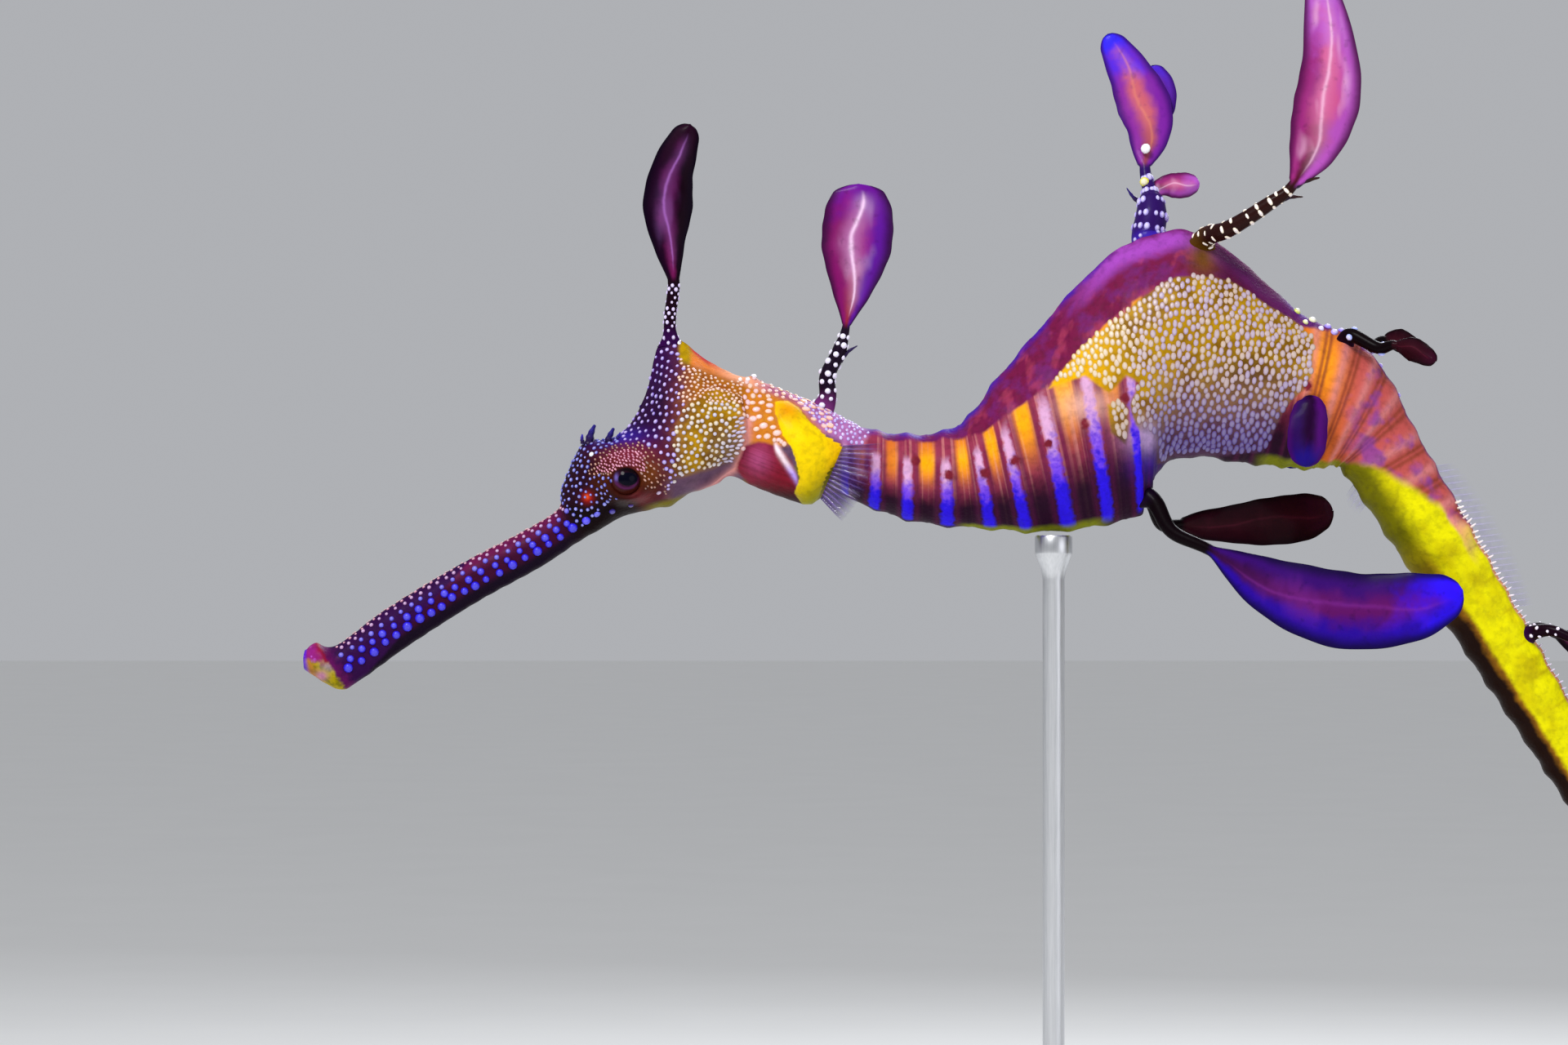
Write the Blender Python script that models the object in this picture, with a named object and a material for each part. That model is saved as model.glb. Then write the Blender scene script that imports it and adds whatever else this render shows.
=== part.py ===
"""A life-size weedy seadragon (a long-snouted relative of the seahorses) on a plain display stand.

The animal looks towards -X, its left side faces -Y and +Z is up. The origin is on the floor, under
the middle of the model. The body is one loft through flat sections, parted into named lengths by
thin cuts. Each section runs from a point on the back to a point on the belly, and its sides
follow a power of the cosine, which gives a round snout, a thin crest and a boxy tail.
Body measures are in millimetres from the centre of the eye, as (x, z) or (x, y, z).
"""

import math

import bmesh
import bpy
from mathutils import Vector

MM = 0.001
GAP = 0.3  # clear space between pieces that touch

# --- where the animal is held -------------------------------------------------------------------
BASE_SIZE = (150.0, 88.0, 8.0)
BASE_CORNER = 20.0
BASE_BEVEL = 1.5
EYE_X = -69.7  # from the middle of the model to the eye
EYE_Z = 194.0  # height of the eye above the floor
ROD_X = 68.0  # where the rod meets the belly, from the eye
ROD_RADIUS = 1.75
PAD_RADIUS = 3.0
PAD_HEIGHT = 3.0
COLLAR_RADIUS = 6.0
COLLAR_HEIGHT = 4.0

# --- the body's sections ------------------------------------------------------------------------
# back point, belly point, half width, sharpness of the back, sharpness of the belly.
# Sharpness 1 is an ellipse, 2 a wedge, 3 a thin blade, under 1 a box.
SNOUT = (
    ((-51.0, -27.0), (-47.8, -33.8), 2.9, 1.0, 1.0),  # lips
    ((-48.8, -26.0), (-44.6, -33.2), 3.6, 1.0, 1.0),
    ((-46.0, -25.5), (-42.0, -32.0), 2.7, 1.0, 1.0),  # throat
    ((-38.5, -20.5), (-34.5, -26.5), 2.5, 1.0, 1.0),
    ((-27.0, -13.5), (-23.5, -19.5), 2.5, 1.0, 1.0),
    ((-16.5, -8.0), (-13.5, -14.0), 2.6, 1.0, 1.0),
)
HEAD = (
    ((-11.0, -4.5), (-7.5, -10.0), 3.0, 1.0, 1.0),
    ((-10.5, -1.5), (-4.0, -8.0), 3.8, 1.0, 1.0),
    ((-8.5, 3.5), (-0.5, -6.0), 5.2, 1.2, 1.1),
    ((-6.5, 6.5), (3.5, -5.0), 6.4, 1.4, 1.2),  # brow
    ((-3.0, 6.7), (7.0, -4.0), 7.0, 1.5, 1.2),  # eye
    ((0.0, 8.5), (10.0, -2.5), 7.4, 1.8, 1.2),
    ((3.0, 14.0), (12.5, -2.0), 7.8, 2.4, 1.2),
    ((5.0, 21.5), (15.0, -1.0), 7.9, 3.2, 1.3),  # crest
    ((8.5, 22.5), (16.5, 0.0), 7.8, 3.2, 1.4),
    ((12.5, 19.5), (18.5, -0.5), 7.5, 2.4, 1.4),
)
NECK = (
    ((17.5, 17.0), (21.0, -1.5), 7.1, 1.7, 1.3),
    ((22.5, 15.5), (25.0, -3.0), 7.0, 1.4, 1.2),
    ((27.5, 13.5), (29.0, -4.0), 6.6, 1.3, 1.1),  # shoulder
)
TRUNK = (
    ((33.0, 11.0), (33.0, -2.2), 5.7, 1.1, 1.1),
    ((38.0, 8.5), (37.5, -4.0), 5.6, 1.0, 1.2),
    ((44.5, 7.5), (44.5, -6.5), 5.9, 1.0, 1.4),
    ((50.5, 8.0), (51.0, -7.5), 6.3, 1.1, 1.5),
    ((54.5, 10.5), (58.0, -8.0), 6.9, 1.3, 1.6),
    ((59.0, 16.5), (65.0, -8.5), 7.6, 1.6, 1.6),
    ((65.0, 23.5), (72.0, -8.0), 8.3, 1.8, 1.6),
    ((71.0, 30.5), (77.5, -7.0), 8.9, 1.9, 1.5),
    ((77.5, 36.5), (82.0, -5.5), 9.3, 2.0, 1.5),  # belly leaves
    ((83.0, 39.0), (83.7, -1.5), 9.5, 2.0, 1.3),
    ((89.0, 40.0), (85.8, 2.4), 9.5, 1.9, 1.1),  # top of the hump
    ((95.5, 37.0), (91.5, 3.5), 9.4, 1.8, 1.0),
    ((102.0, 31.5), (98.0, 2.5), 8.9, 1.7, 1.0),
    ((108.5, 26.0), (103.5, 2.0), 8.1, 1.5, 1.0),
    ((115.5, 23.0), (108.5, 1.5), 7.3, 1.3, 1.0),
    ((121.2, 16.9), (112.5, 2.0), 6.5, 1.1, 0.9),
)

# --- the tail, which follows a curve worked out from its heading --------------------------------
TAIL_ROOT = (120.1, 4.2)
TAIL_LENGTH = 214.0
TAIL_STATIONS = 16
TAIL_HEADING = -58.0  # degrees above the horizon; steady until the bend starts
TAIL_BEND_START = 0.26  # share of the tail's length
TAIL_BEND = -82.0
TAIL_BEND_POWER = 1.25
TAIL_SWAY = 14.0  # how far the tip swings to the animal's right
TAIL_DEPTH = 12.2
TAIL_TIP_DEPTH = 1.3
TAIL_TAPER = 1.35
TAIL_FLATNESS = 0.42  # half width for each unit of depth
TAIL_BOXINESS = 0.8

RIDGE_RADIUS = 0.7  # rounds the thin top of a crest

# bulges on both sides: x, z, reach along x, reach along z, height
BULGES = (
    (0.3, 0.6, 4.6, 4.2, 1.1),  # orbit
    (12.0, 5.0, 6.0, 6.6, 1.3),  # gill cover
    (28.0, 3.6, 4.2, 7.0, 1.3),  # base of the pectoral fin
)

EYE_RADIUS = 2.9
EYE_Y = 5.6

# --- lengths that the body is parted into: name, first station, last station ---------------------
HEAD_AT = len(SNOUT)
NECK_AT = HEAD_AT + len(HEAD)
TRUNK_AT = NECK_AT + len(NECK)
TAIL_AT = TRUNK_AT + len(TRUNK)
THROAT_AT = 2
LENGTHS = (
    ("mouth", 0, THROAT_AT),
    ("snout", THROAT_AT, HEAD_AT),
    ("head", HEAD_AT, NECK_AT),
    ("neck", NECK_AT, TRUNK_AT),
    ("trunk_front", TRUNK_AT, TRUNK_AT + 5),
    ("trunk_middle", TRUNK_AT + 5, TRUNK_AT + 9),
    ("trunk_hump", TRUNK_AT + 9, TRUNK_AT + 12),
    ("trunk_rear", TRUNK_AT + 12, TAIL_AT),
    ("tail_1", TAIL_AT, TAIL_AT + 3),
    ("tail_2", TAIL_AT + 3, TAIL_AT + 6),
    ("tail_3", TAIL_AT + 6, TAIL_AT + 9),
    ("tail_4", TAIL_AT + 9, TAIL_AT + 12),
    ("tail_5", TAIL_AT + 12, TAIL_AT + TAIL_STATIONS - 1),
)
SIDES = 20  # points round a section
FINE_LENGTHS = ("snout", "head", "neck", "trunk_front", "trunk_middle", "trunk_hump", "trunk_rear")

# --- skin flaps: leaves on stalks ----------------------------------------------------------------
# root: station and angle round the section (0 left side, 90 back, -90 belly, 180 right side).
# stalk and leaf: the points that each follows. width: of the leaf. widest: share of its length.
LEAVES = (
    dict(name="nape", root=(13.6, 90), stalk=((7.0, 0, 26.5), (7.4, 0, 29.4), (7.5, 0, 32.0)),
         leaf=((6.6, 0, 40.0), (7.1, 0, 48.5), (10.2, 0, 56.7)),
         radius=1.15, width=8.0, widest=0.42),
    dict(name="neck", root=(18.7, 90), stalk=((32.0, 0, 16.6), (33.8, 0, 20.4), (35.0, 0, 24.6)),
         leaf=((36.2, 0, 33.0), (36.9, 0, 41.0), (37.0, 0, 47.2)),
         radius=1.25, width=11.0, widest=0.6),
    dict(name="hump_left", root=(29.45, 66),
         stalk=((95.3, -7.4, 39.6), (101.1, -9.5, 43.2), (105.2, -10.5, 46.5)),
         leaf=((109.2, -11.5, 55.0), (110.8, -12.5, 65.5), (108.5, -13.5, 81.5)),
         radius=1.35, width=9.8, widest=0.52),
    dict(name="hump_right", root=(28.15, 116),
         stalk=((83.9, 4.6, 42.5), (83.8, 6.2, 46.0), (83.1, 8.0, 50.5)),
         leaf=((83.8, 9.5, 57.5), (81.4, 10.5, 64.5), (77.2, 11.5, 72.0)),
         radius=2.0, width=10.4, widest=0.5),
    dict(name="rear_left", root=(32.9, 60), stalk=((118.9, -6.4, 20.8), (121.2, -8.2, 21.2)),
         leaf=((124.0, -10.5, 20.4), (127.0, -13.5, 18.5)), radius=1.1, width=3.8, widest=0.5),
    dict(name="rear_right", root=(32.9, 120), stalk=((119.0, 6.4, 21.4), (121.4, 8.2, 22.6)),
         leaf=((124.3, 10.5, 22.6), (127.5, 13.5, 21.4)), radius=1.1, width=3.8, widest=0.5),
    dict(name="belly_left", root=(27.35, -70), stalk=((86.5, -4.6, -8.2), (92.5, -6.5, -11.2)),
         leaf=((102.6, -8.5, -17.2), (113.4, -10.5, -20.6), (123.6, -12.0, -20.0), (131.4, -13.0, -17.4)),
         radius=1.2, width=12.0, widest=0.46),
    dict(name="belly_right", root=(27.35, -110), stalk=((85.6, 4.6, -7.0), (88.8, 6.5, -7.2)),
         leaf=((97.5, 9.5, -7.0), (107.0, 12.5, -6.2), (114.0, 15.0, -4.8)),
         radius=1.1, width=7.6, widest=0.6),
)
# one more pair hangs beside the vent, and pairs grow along the tail: name, share of the tail's
# length, stalk length, leaf length, leaf width
VENT_LEAF = dict(root=(32.35, -8), drop=9.6, lean=-1.0, width=6.3, radius=0.9, splay=2.0)
TAIL_LEAVES = (
    ("tail_front", 0.172, 6.5, 25.0, 8.0),
    ("tail_mid", 0.47, 6.0, 19.0, 6.4),
    ("tail_end", 0.73, 4.0, 12.0, 4.4),
)
TAIL_LEAF_ANGLE = 58.0  # from the side towards the back
TAIL_LEAF_CURVE = ((0.25, 0.28), (0.4, 0.62), (0.42, 0.95))  # outwards and backwards, in leaf lengths
LEAFLET = ((86.0, 8.2, 47.5), (88.8, 8.6, 47.4), (92.6, 9.0, 48.2))  # small side leaf
LEAFLET_WIDTH = 3.8
BLADE_THICKNESS = 1.5
BLADE_END = 0.98  # where a blade's rounded tip is cut flat, as a share of its length
BLADE_SIDES = 8
BLADE_RINGS = 8
STALK_RINGS = 5

# --- thin fins -----------------------------------------------------------------------------------
FIN_THICKNESS = 0.6
PECTORAL_ROOT = ((34.8, 5.4), (31.2, -2.7))
PECTORAL_LENGTH = 6.2
PECTORAL_SPREAD = (-4.0, -30.0)  # headings of its first and last rays
PECTORAL_Y = (7.0, 8.7)  # distance from the middle plane at the root and at the edge
PECTORAL_RAYS = 9
DORSAL_SPAN = (0.03, 0.15)  # shares of the tail's length
DORSAL_HEIGHT = 4.4
DORSAL_RAYS = 12
ANAL_SPAN = (0.012, 0.03)
ANAL_HEIGHT = 2.6
ANAL_RAYS = 4

COLOURS = {  # red, green, blue, roughness, metallic
    "skin_dark": (0.16, 0.02, 0.09, 0.5, 0.0),
    "skin_gold": (0.72, 0.42, 0.10, 0.5, 0.0),
    "skin_yellow": (0.80, 0.72, 0.05, 0.5, 0.0),
    "leaf": (0.36, 0.04, 0.20, 0.3, 0.0),
    "fin": (0.70, 0.60, 0.85, 0.4, 0.0),
    "eye": (0.03, 0.01, 0.05, 0.1, 0.0),
    "stand_wood": (0.13, 0.06, 0.03, 0.45, 0.0),
    "stand_steel": (0.62, 0.62, 0.64, 0.25, 1.0),
}
BODY_COLOUR = {"mouth": "skin_dark", "snout": "skin_dark", "head": "skin_dark"}


# --- small tools ---------------------------------------------------------------------------------
def smooth_curve(points, u):
    """The point at u on a curve through evenly numbered points (Catmull-Rom)."""
    last = len(points) - 1
    k = min(int(max(u, 0)), last - 1)
    t = u - k
    p0, p1, p2, p3 = (points[min(max(k + j, 0), last)] for j in (-1, 0, 1, 2))
    return 0.5 * (
        2 * p1 + (p2 - p0) * t + (2 * p0 - 5 * p1 + 4 * p2 - p3) * t * t + (3 * p1 - p0 - 3 * p2 + p3) * t**3
    )


def material(name):
    found = bpy.data.materials.get(name)
    if found:
        return found
    made = bpy.data.materials.new(name)
    made.use_nodes = True
    shader = made.node_tree.nodes["Principled BSDF"]
    red, green, blue, roughness, metallic = COLOURS[name]
    shader.inputs["Base Color"].default_value = (red, green, blue, 1)
    shader.inputs["Roughness"].default_value = roughness
    shader.inputs["Metallic"].default_value = metallic
    return made


def add_object(name, mesh_data, colour, parent, smooth_angle=40):
    mesh = bpy.data.meshes.new(name)
    bmesh.ops.recalc_face_normals(mesh_data, faces=mesh_data.faces)
    mesh_data.to_mesh(mesh)
    mesh_data.free()
    mesh.shade_smooth()
    mesh.set_sharp_from_angle(angle=math.radians(smooth_angle))
    mesh.materials.append(material(colour))
    obj = bpy.data.objects.new(name, mesh)
    obj.parent = parent
    bpy.context.scene.collection.objects.link(obj)
    return obj


def loft(rings):
    """A closed mesh through rings of equal counts, in millimetres, with flat ends."""
    made = bmesh.new()
    rows = [[made.verts.new(p * MM) for p in ring] for ring in rings]
    count = len(rows[0])
    for a, b in zip(rows, rows[1:]):
        for i in range(count):
            j = (i + 1) % count
            made.faces.new((a[i], a[j], b[j], b[i]))
    made.faces.new(rows[0][::-1])
    made.faces.new(rows[-1])
    return made


# --- the body ------------------------------------------------------------------------------------
def tail_depth(share):
    return TAIL_DEPTH * (1 - share) ** TAIL_TAPER + TAIL_TIP_DEPTH


def tail_sections():
    """Sections along the tail's curve, in the same form as the others."""
    step = TAIL_LENGTH / (TAIL_STATIONS - 1)
    centre, made = Vector(TAIL_ROOT), []
    for i in range(TAIL_STATIONS):
        share = i / (TAIL_STATIONS - 1)
        bent = max(0.0, share - TAIL_BEND_START) / (1 - TAIL_BEND_START)
        heading = math.radians(TAIL_HEADING + TAIL_BEND * bent**TAIL_BEND_POWER)
        along = Vector((math.cos(heading), math.sin(heading)))
        half = Vector((-along.y, along.x)) * tail_depth(share) / 2
        width = TAIL_FLATNESS * tail_depth(share)
        made.append((centre + half, centre - half, width, TAIL_BOXINESS, TAIL_BOXINESS))
        centre = centre + along * step
    return made


SECTIONS = [*SNOUT, *HEAD, *NECK, *TRUNK, *tail_sections()]
COLUMNS = [[Vector(row[0]) for row in SECTIONS], [Vector(row[1]) for row in SECTIONS]]
COLUMNS += [[row[i] for row in SECTIONS] for i in (2, 3, 4)]


def sway(u):
    share = max(0.0, u - TAIL_AT) / (TAIL_STATIONS - 1)
    return TAIL_SWAY * share**1.6


def bulge(x, z):
    return sum(h * math.exp(-(((x - bx) / rx) ** 2) - ((z - bz) / rz) ** 2) for bx, bz, rx, rz, h in BULGES)


def body_point(u, angle):
    """The skin at station u, at an angle in degrees: 0 left side, 90 back, -90 belly, 180 right."""
    back, belly, width, back_power, belly_power = (smooth_curve(c, u) for c in COLUMNS)
    side, up = math.cos(math.radians(angle)), math.sin(math.radians(angle))
    power = back_power if up > 0 else belly_power
    middle = (back + belly) / 2 + (back - belly) / 2 * up
    reach = (width - RIDGE_RADIUS) * abs(side) ** power + RIDGE_RADIUS * abs(side)
    reach += bulge(middle.x, middle.y) * abs(side)
    return Vector((middle.x, sway(u) - math.copysign(reach, side), middle.y))


def body_frame(u, angle):
    """A skin point and the outward direction there."""
    here, step = body_point(u, angle), 0.02
    along = body_point(u + step, angle) - body_point(u - step, angle)
    around = body_point(u, angle + 1) - body_point(u, angle - 1)
    out = around.cross(along).normalized()
    if out.dot(here - (body_point(u, angle + 180))) < 0:
        out.negate()
    return here, out


def half_gap(u):
    """How many stations half a cut takes, so that it is wide enough where the sections are closest."""
    step = 0.05
    back, belly = (smooth_curve(c, u) for c in COLUMNS[:2])
    square = (back - belly).orthogonal().normalized()
    paces = [(smooth_curve(c, u + step) - smooth_curve(c, u - step)).dot(square) for c in COLUMNS[:2]]
    return GAP * step / min(abs(pace) for pace in paces)


def body_ring(u):
    return [body_point(u, 360 * i / SIDES) for i in range(SIDES)]


def body_length(name, first, last, parent):
    end = len(SECTIONS) - 1
    start_u = first + (half_gap(first) if first > 0 else 0)
    stop_u = last - (half_gap(last) if last < end else 0)
    count = (last - first) * (2 if name in FINE_LENGTHS else 1)
    rings = [body_ring(start_u + (stop_u - start_u) * i / count) for i in range(count + 1)]
    if first == 0:
        rings = mouth_cup(rings)
    colour = BODY_COLOUR.get(name, "skin_yellow" if name.startswith("tail") else "skin_gold")
    return add_object(name, loft(rings), colour, parent)


def mouth_cup(rings):
    """The lips end in a shallow cup, which is the open mouth."""
    rim = rings[0]
    centre = sum(rim, Vector()) / len(rim)
    inward = (sum(rings[1], Vector()) / len(rim) - centre).normalized()
    inner = [centre + (p - centre) * 0.72 + inward * 0.1 for p in rim]
    floor = [centre + (p - centre) * 0.5 + inward * 1.8 for p in rim]
    return [floor, inner, *rings]


# --- eyes ----------------------------------------------------------------------------------------
def ball(radius, segments, rings):
    made = bmesh.new()
    bmesh.ops.create_uvsphere(made, u_segments=segments, v_segments=rings, radius=radius * MM)
    return made


def eyes(parent, head):
    for side, name in ((-1, "left"), (1, "right")):
        place = Vector((0, side * EYE_Y, 0)) * MM
        cutter = add_object("socket_" + name, ball(EYE_RADIUS + GAP, 14, 8), "eye", parent)
        cutter.hide_render = True
        cutter.display_type = "WIRE"
        cutter.location = place
        cut = head.modifiers.new("socket_" + name, "BOOLEAN")
        cut.operation = "DIFFERENCE"
        cut.object = cutter
        eye = add_object("eye_" + name, ball(EYE_RADIUS, 14, 8), "eye", parent)
        eye.location = place


# --- leaves --------------------------------------------------------------------------------------
def leaf_shape(t, widest, slimness=1.3):
    """Share of the full width at share t of a leaf's length. A higher slimness points the ends."""
    return (t / widest) ** (slimness * widest) * ((1 - t) / (1 - widest)) ** (slimness * (1 - widest))


def flap_rings(path, first, last, size_at, count):
    """Oval rings along part of a path. size_at(t) gives half the width and half the thickness."""
    rings, step = [], 0.03
    for i in range(count + 1):
        t = i / count
        u = first + (last - first) * t
        here = smooth_curve(path, u)
        along = smooth_curve(path, u + step) - smooth_curve(path, u - step)
        across = along.cross(Vector((0, 1, 0))).normalized()
        flat = across.cross(along).normalized()
        wide, thick = size_at(t)
        turns = [2 * math.pi * k / BLADE_SIDES for k in range(BLADE_SIDES)]
        rings.append([here + across * wide * math.cos(a) + flat * thick * math.sin(a) for a in turns])
    return rings


def add_leaf(name, path, first, width, widest, neck, parent):
    """A blade along the path from first to its end. neck is the radius that it starts with."""

    def size(t):
        grown = leaf_shape(min(t, BLADE_END), widest)
        base = neck * (1 - t) ** 3
        return max(width / 2 * grown, base, 0.35), max(BLADE_THICKNESS / 2 * grown**0.5, base, 0.28)

    rings = flap_rings(path, first, len(path) - 1, size, BLADE_RINGS)
    add_object("leaf_" + name, loft(rings), "leaf", parent)


def stalk_and_leaf(name, root, stalk, leaf, radius, width, widest, parent):
    """A stalk from the skin at root, and the blade at its end, as two solids on one path."""
    here, out = body_frame(*root)
    start = here + out * GAP
    path = [start, start + out * radius, *[Vector(p) for p in stalk], *[Vector(p) for p in leaf]]
    join = 1 + len(stalk)
    pace = (smooth_curve(path, join + 0.1) - smooth_curve(path, join - 0.1)).length / 0.2
    half_cut = GAP / 2 / pace
    neck = max(0.75, radius * 0.5)

    def size(t):
        r = radius + (neck - radius) * t
        return r, r

    rings = flap_rings(path, 0, join - half_cut, size, STALK_RINGS)
    add_object("stalk_" + name, loft(rings), "skin_dark", parent)
    add_leaf(name, path, join + half_cut, width, widest, neck, parent)


def vent_leaves(parent):
    station, angle = VENT_LEAF["root"]
    for name, turned in (("left", angle), ("right", 180 - angle)):
        here, out = body_frame(station, turned)
        side = Vector((0, math.copysign(VENT_LEAF["splay"], out.y), 0))
        start = here + out * (GAP + VENT_LEAF["radius"])
        drop = Vector((VENT_LEAF["lean"], 0, -VENT_LEAF["drop"]))
        path = [start, start + (drop + side) / 2, start + drop + side]
        add_leaf("vent_" + name, path, 0, VENT_LEAF["width"], 0.5, VENT_LEAF["radius"], parent)


def tail_leaves(parent):
    """Pairs along the tail: each stalk stands out from the upper corner and its leaf trails back."""
    for name, share, stalk_length, leaf_length, width in TAIL_LEAVES:
        u = TAIL_AT + share * (TAIL_STATIONS - 1)
        trail = (body_point(u + 0.2, 90) - body_point(u - 0.2, 90)).normalized()
        for side, angle in (("left", TAIL_LEAF_ANGLE), ("right", 180 - TAIL_LEAF_ANGLE)):
            here, out = body_frame(u, angle)
            tip = here + out * stalk_length + trail * stalk_length * 0.5
            blade = [tip + (out * a + trail * b) * leaf_length for a, b in TAIL_LEAF_CURVE]
            stalk = (here + out * stalk_length * 0.6 + trail * stalk_length * 0.12, tip)
            stalk_and_leaf(f"{name}_{side}", (u, angle), stalk, blade, 0.9, width, 0.5, parent)


# --- fins ----------------------------------------------------------------------------------------
def fin_sheet(roots, edges, thickness_way):
    """A thin plate between a row of root points and a row of edge points."""
    half = thickness_way.normalized() * FIN_THICKNESS / 2
    rings = []
    for root, edge in zip(roots, edges):
        rings.append([root - half, edge - half, edge + half, root + half])
    return loft(rings)


def pectoral_fins(parent):
    top, bottom = (Vector(p) for p in PECTORAL_ROOT)
    for side, name in ((-1, "left"), (1, "right")):
        roots, edges = [], []
        for i in range(PECTORAL_RAYS):
            t = i / (PECTORAL_RAYS - 1)
            root = top.lerp(bottom, t)
            heading = math.radians(PECTORAL_SPREAD[0] + (PECTORAL_SPREAD[1] - PECTORAL_SPREAD[0]) * t)
            length = PECTORAL_LENGTH * (0.75 + 0.25 * math.sin(math.pi * t))
            edge = root + Vector((math.cos(heading), math.sin(heading))) * length
            roots.append(Vector((root.x, side * PECTORAL_Y[0], root.y)))
            edges.append(Vector((edge.x, side * PECTORAL_Y[1], edge.y)))
        add_object("pectoral_fin_" + name, fin_sheet(roots, edges, Vector((0, 1, 0))), "fin", parent)


def midline_fin(name, span, height, rays, angle, parent):
    """A low fin along the tail's back (angle 90) or belly (angle -90)."""
    roots, edges = [], []
    for i in range(rays):
        t = i / (rays - 1)
        u = TAIL_AT + (span[0] + (span[1] - span[0]) * t) * (TAIL_STATIONS - 1)
        here, out = body_frame(u, angle)
        trail = (body_point(u + 0.1, angle) - body_point(u - 0.1, angle)).normalized()
        rise = height * (0.45 + 0.55 * math.sin(math.pi * (0.15 + 0.75 * t)))
        roots.append(here + out * GAP)
        edges.append(here + (out + trail * 0.45).normalized() * rise)
    add_object(name, fin_sheet(roots, edges, Vector((0, 1, 0))), "fin", parent)


# --- stand ---------------------------------------------------------------------------------------
def turned(profile, segments=24):
    """A solid of revolution about Z from (radius, height) points, bottom to top."""
    angles = [2 * math.pi * k / segments for k in range(segments)]
    return loft([[Vector((r * math.cos(a), r * math.sin(a), z)) for a in angles] for r, z in profile])


def stand_base():
    length, depth, height = BASE_SIZE
    outline = []
    for quarter in range(4):
        sx, sy = (1, 1, -1, -1)[quarter], (-1, 1, 1, -1)[quarter]
        corner = Vector((sx * (length / 2 - BASE_CORNER), sy * (depth / 2 - BASE_CORNER)))
        for k in range(7):
            a = math.radians(-90 + 90 * quarter + 15 * k)
            outline.append(corner + Vector((math.cos(a), math.sin(a))) * BASE_CORNER)
    bevel = [(BASE_BEVEL, 0), (0, BASE_BEVEL), (0, height - BASE_BEVEL), (BASE_BEVEL, height)]
    rings = []
    for inset, z in bevel:
        sx, sy = 1 - 2 * inset / length, 1 - 2 * inset / depth
        rings.append([Vector((p.x * sx, p.y * sy, z)) for p in outline])
    return add_object("stand_base", loft(rings), "stand_wood", None, 30)


def stand_rod():
    """The collar on the base, and the rod that ends in a small pad under the belly."""
    x = EYE_X + ROD_X
    belly = EYE_Z + belly_height(ROD_X)
    foot = BASE_SIZE[2] + GAP
    top = belly - GAP
    shoulder = top - PAD_HEIGHT
    profile = [(ROD_RADIUS, foot), (ROD_RADIUS, shoulder - 4), (PAD_RADIUS, shoulder), (PAD_RADIUS, top)]
    rod = add_object("stand_rod", turned(profile, 16), "stand_steel", None)
    rod.location = Vector((x, 0, 0)) * MM
    hole = ROD_RADIUS + GAP
    edge = COLLAR_RADIUS - 1
    profile = [(hole, foot), (COLLAR_RADIUS, foot), (COLLAR_RADIUS, foot + COLLAR_HEIGHT - 1),
               (edge, foot + COLLAR_HEIGHT), (hole, foot + COLLAR_HEIGHT)]
    collar = add_object("stand_collar", ring_solid(profile), "stand_steel", None)
    collar.location = Vector((x, 0, 0)) * MM


def ring_solid(profile, segments=24):
    """A closed ring turned about Z from a closed profile of (radius, height) points."""
    made = bmesh.new()
    columns = []
    for k in range(segments):
        a = 2 * math.pi * k / segments
        points = [Vector((r * math.cos(a), r * math.sin(a), z)) for r, z in profile]
        columns.append([made.verts.new(p * MM) for p in points])
    count = len(profile)
    for k in range(segments):
        here, there = columns[k], columns[(k + 1) % segments]
        for i in range(count):
            j = (i + 1) % count
            made.faces.new((here[i], there[i], there[j], here[j]))
    return made


def belly_height(x):
    """Lowest skin above the pad, at x from the eye."""
    lowest = 0.0
    for i in range(400):
        p = body_point(TRUNK_AT + i * 0.03, -90)
        if abs(p.x - x) <= PAD_RADIUS:
            lowest = min(lowest, p.z)
    return lowest


# --- the model -----------------------------------------------------------------------------------
def clear_scene():
    for obj in list(bpy.data.objects):
        bpy.data.objects.remove(obj)


def main():
    clear_scene()
    animal = bpy.data.objects.new("animal", None)
    bpy.context.scene.collection.objects.link(animal)
    animal.location = Vector((EYE_X, 0, EYE_Z)) * MM
    solids = {name: body_length(name, first, last, animal) for name, first, last in LENGTHS}
    eyes(animal, solids["head"])
    for flap in LEAVES:
        stalk_and_leaf(parent=animal, **flap)
    add_leaf("hump_side", [Vector(p) for p in LEAFLET], 0, LEAFLET_WIDTH, 0.6, 0.5, animal)
    vent_leaves(animal)
    tail_leaves(animal)
    pectoral_fins(animal)
    midline_fin("dorsal_fin", DORSAL_SPAN, DORSAL_HEIGHT, DORSAL_RAYS, 90, animal)
    midline_fin("anal_fin", ANAL_SPAN, ANAL_HEIGHT, ANAL_RAYS, -90, animal)
    stand_base()
    stand_rod()
    bpy.context.view_layer.update()


main()
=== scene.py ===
"""Dresses the solid seadragon: one skin, its beads, leafy flaps, fins, eyes and the stand's finishes.

Body measures are in millimetres from the middle of the eyes, +X towards the tail and +Z up. The
animal's left side faces -Y. A place on the skin is given by a station along the body and a turn
round it, where a quarter turn is the back and minus a quarter turn is the belly.
"""

import math
from itertools import product

import bpy
import numpy as np
from mathutils import Matrix, Vector, kdtree


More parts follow.
